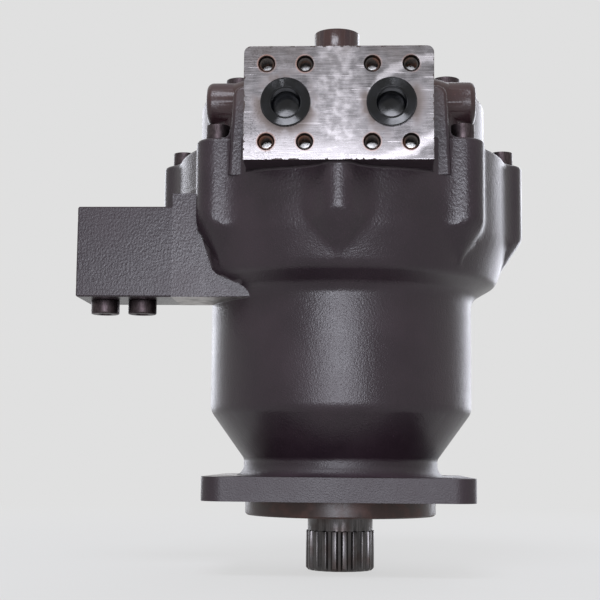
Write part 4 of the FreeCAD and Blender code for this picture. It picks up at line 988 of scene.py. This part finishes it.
class MOTOR_OT_drive_shaft(bpy.types.Operator):
    """Copy the drive shaft with broken edges on its spline teeth"""

    bl_idname = "motor.drive_shaft"
    bl_label = "Drive shaft"

    def execute(self, context):
        edges = context.scene.motor_edges
        shaft = joined_copy("drive_shaft", "splined_shaft")
        break_edges(shaft, edges.small)
        smooth(shaft, edges.smooth)
        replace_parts(dress(shaft, "shaft_steel", "rotor"), "drive_shaft")
        return {"FINISHED"}


class MOTOR_OT_inner_parts(bpy.types.Operator):
    """Give every solid the finish of its material slot"""

    bl_idname = "motor.inner_parts"
    bl_label = "Solids"

    def execute(self, context):
        for part in frame["record"]["subparts"]:
            node = frame["nodes"][part["node"]]
            node.data.materials.clear()
            node.data.materials.append(FINISHES[part["material_slot"]])
        return {"FINISHED"}


# Lamps: place, size, the setting that gives the power, and the lamp's share of it
LAMPS = {
    "key_lamp": ((-0.04, -2.0, 0.22), (0.95, 0.50), "key_power", 1),
    "top_lamp": ((-0.25, -1.35, 1.75), (0.9, 0.6), "top_power", 1),
    "left_lamp": ((-1.0, 1.6, 0.40), (0.7, 1.1), "fill_power", 0.9),
    "right_lamp": ((1.0, 1.5, 0.40), (0.7, 1.1), "fill_power", 1.1),
    "low_lamp": ((0.0, -1.2, -0.040), (0.05, 0.03), "key_power", 0.012),
    "back_lamp": ((0.4, 2.1, 1.1), (1.2, 1.2), "fill_power", 1.4),
}
LAMP_AIM = Vector((0, 0, 0.14))
LAMP_COLOUR = (0.88, 0.90, 1.0)
SKY_STRENGTH = 0.34
FLOOR_RADIUS = 9
FLOOR_HEIGHT = CAD_BOX[0][2] - 0.2 * MM


class MOTOR_OT_stage(bpy.types.Operator):
    """Set up the camera, the lamps, the pale backdrop and the floor"""

    bl_idname = "motor.stage"
    bl_label = "Studio"

    def execute(self, context):
        studio = context.scene.motor_studio
        pick_none()
        bpy.ops.mesh.primitive_circle_add(
            vertices=ROUND_STEPS, radius=FLOOR_RADIUS, fill_type="NGON",
            location=(0, 0, FLOOR_HEIGHT),
        )
        floor = bpy.context.object
        floor.name = "studio_floor"
        bpy.ops.object.transform_apply(location=True, rotation=True, scale=True)
        floor.data.materials.append(FINISHES["studio_floor"])
        self.add_camera(context.scene, studio)
        for name, (place, size, setting, share) in LAMPS.items():
            self.add_lamp(name, place, size, getattr(studio, setting) * share)
        self.add_world(context.scene, studio.backdrop)
        context.scene.view_settings.view_transform = "Standard"
        return {"FINISHED"}

    def add_camera(self, scene, studio):
        yaw, pitch, roll = -studio.turn, studio.tilt, studio.roll
        forward = Vector((math.sin(yaw) * math.cos(pitch), math.cos(yaw) * math.cos(pitch),
                          math.sin(pitch)))
        level = Vector((math.cos(yaw), -math.sin(yaw), 0))
        upright = level.cross(forward)
        right = math.cos(roll) * level + math.sin(roll) * upright
        up = -math.sin(roll) * level + math.cos(roll) * upright
        bpy.ops.object.camera_add(location=studio.camera)
        camera = bpy.context.object
        camera.name = "photo_camera"
        turned = Matrix((right, up, -forward)).transposed().to_4x4()
        camera.matrix_world = Matrix.Translation(studio.camera) @ turned
        camera.data.lens = studio.lens
        camera.data.sensor_width = 36
        camera.data.clip_start = 0.01
        camera.data.clip_end = 50
        scene.camera = camera

    def add_lamp(self, name, place, size, power):
        aim = LAMP_AIM - Vector(place)
        bpy.ops.object.light_add(type="AREA", location=place)
        lamp = bpy.context.object
        lamp.name = name
        lamp.rotation_mode = "QUATERNION"
        lamp.rotation_quaternion = aim.to_track_quat("-Z", "Y")
        lamp.data.shape = "RECTANGLE"
        lamp.data.size, lamp.data.size_y = size
        lamp.data.energy = power
        lamp.data.color = LAMP_COLOUR

    def add_world(self, scene, level):
        world = bpy.data.worlds.new("studio_world")
        scene.world = world
        world.use_nodes = True
        sky = Nodes(world.node_tree)
        background = sky.tree.nodes["Background"]
        sky.feed(background.inputs["Color"], (1, 1, 1, 1))
        sky.feed(background.inputs["Strength"], SKY_STRENGTH)
        plain = Signal(sky, background.outputs[0])
        glow = sky.node("ShaderNodeBackground", values={"Color": (level, level, level, 1)})
        sky.show(sky.seen(), plain, glow, "World Output")


class MOTOR_PT_dressing(bpy.types.Panel):
    """Steps and settings of the swing motor"""

    bl_label = "Swing motor"
    bl_space_type = "VIEW_3D"
    bl_region_type = "UI"
    bl_category = "Swing Motor"

    def draw(self, context):
        for step in STEPS:
            self.layout.operator(step.bl_idname)
        for name, group in SETTINGS.items():
            box = self.layout.box()
            box.label(text=group.__doc__)
            for setting in group.__annotations__:
                box.prop(getattr(context.scene, name), setting)


STEPS = [
    MOTOR_OT_finishes,
    MOTOR_OT_inner_parts,
    MOTOR_OT_castings,
    MOTOR_OT_valve_block,
    MOTOR_OT_port_threads,
    MOTOR_OT_port_plugs,
    MOTOR_OT_screws,
    MOTOR_OT_drive_shaft,
    MOTOR_OT_stage,
]
CLASSES = [*SETTINGS.values(), *STEPS, MOTOR_PT_dressing]


def register():
    for made in CLASSES:
        bpy.utils.register_class(made)
    for name, group in SETTINGS.items():
        setattr(bpy.types.Scene, name, PointerProperty(type=group))


def unregister():
    for name in SETTINGS:
        delattr(bpy.types.Scene, name)
    for made in reversed(CLASSES):
        bpy.utils.unregister_class(made)


def main():
    register()
    for step in STEPS:
        group, name = step.bl_idname.split(".")
        getattr(getattr(bpy.ops, group), name)()


if __name__ == "__main__":
    main()
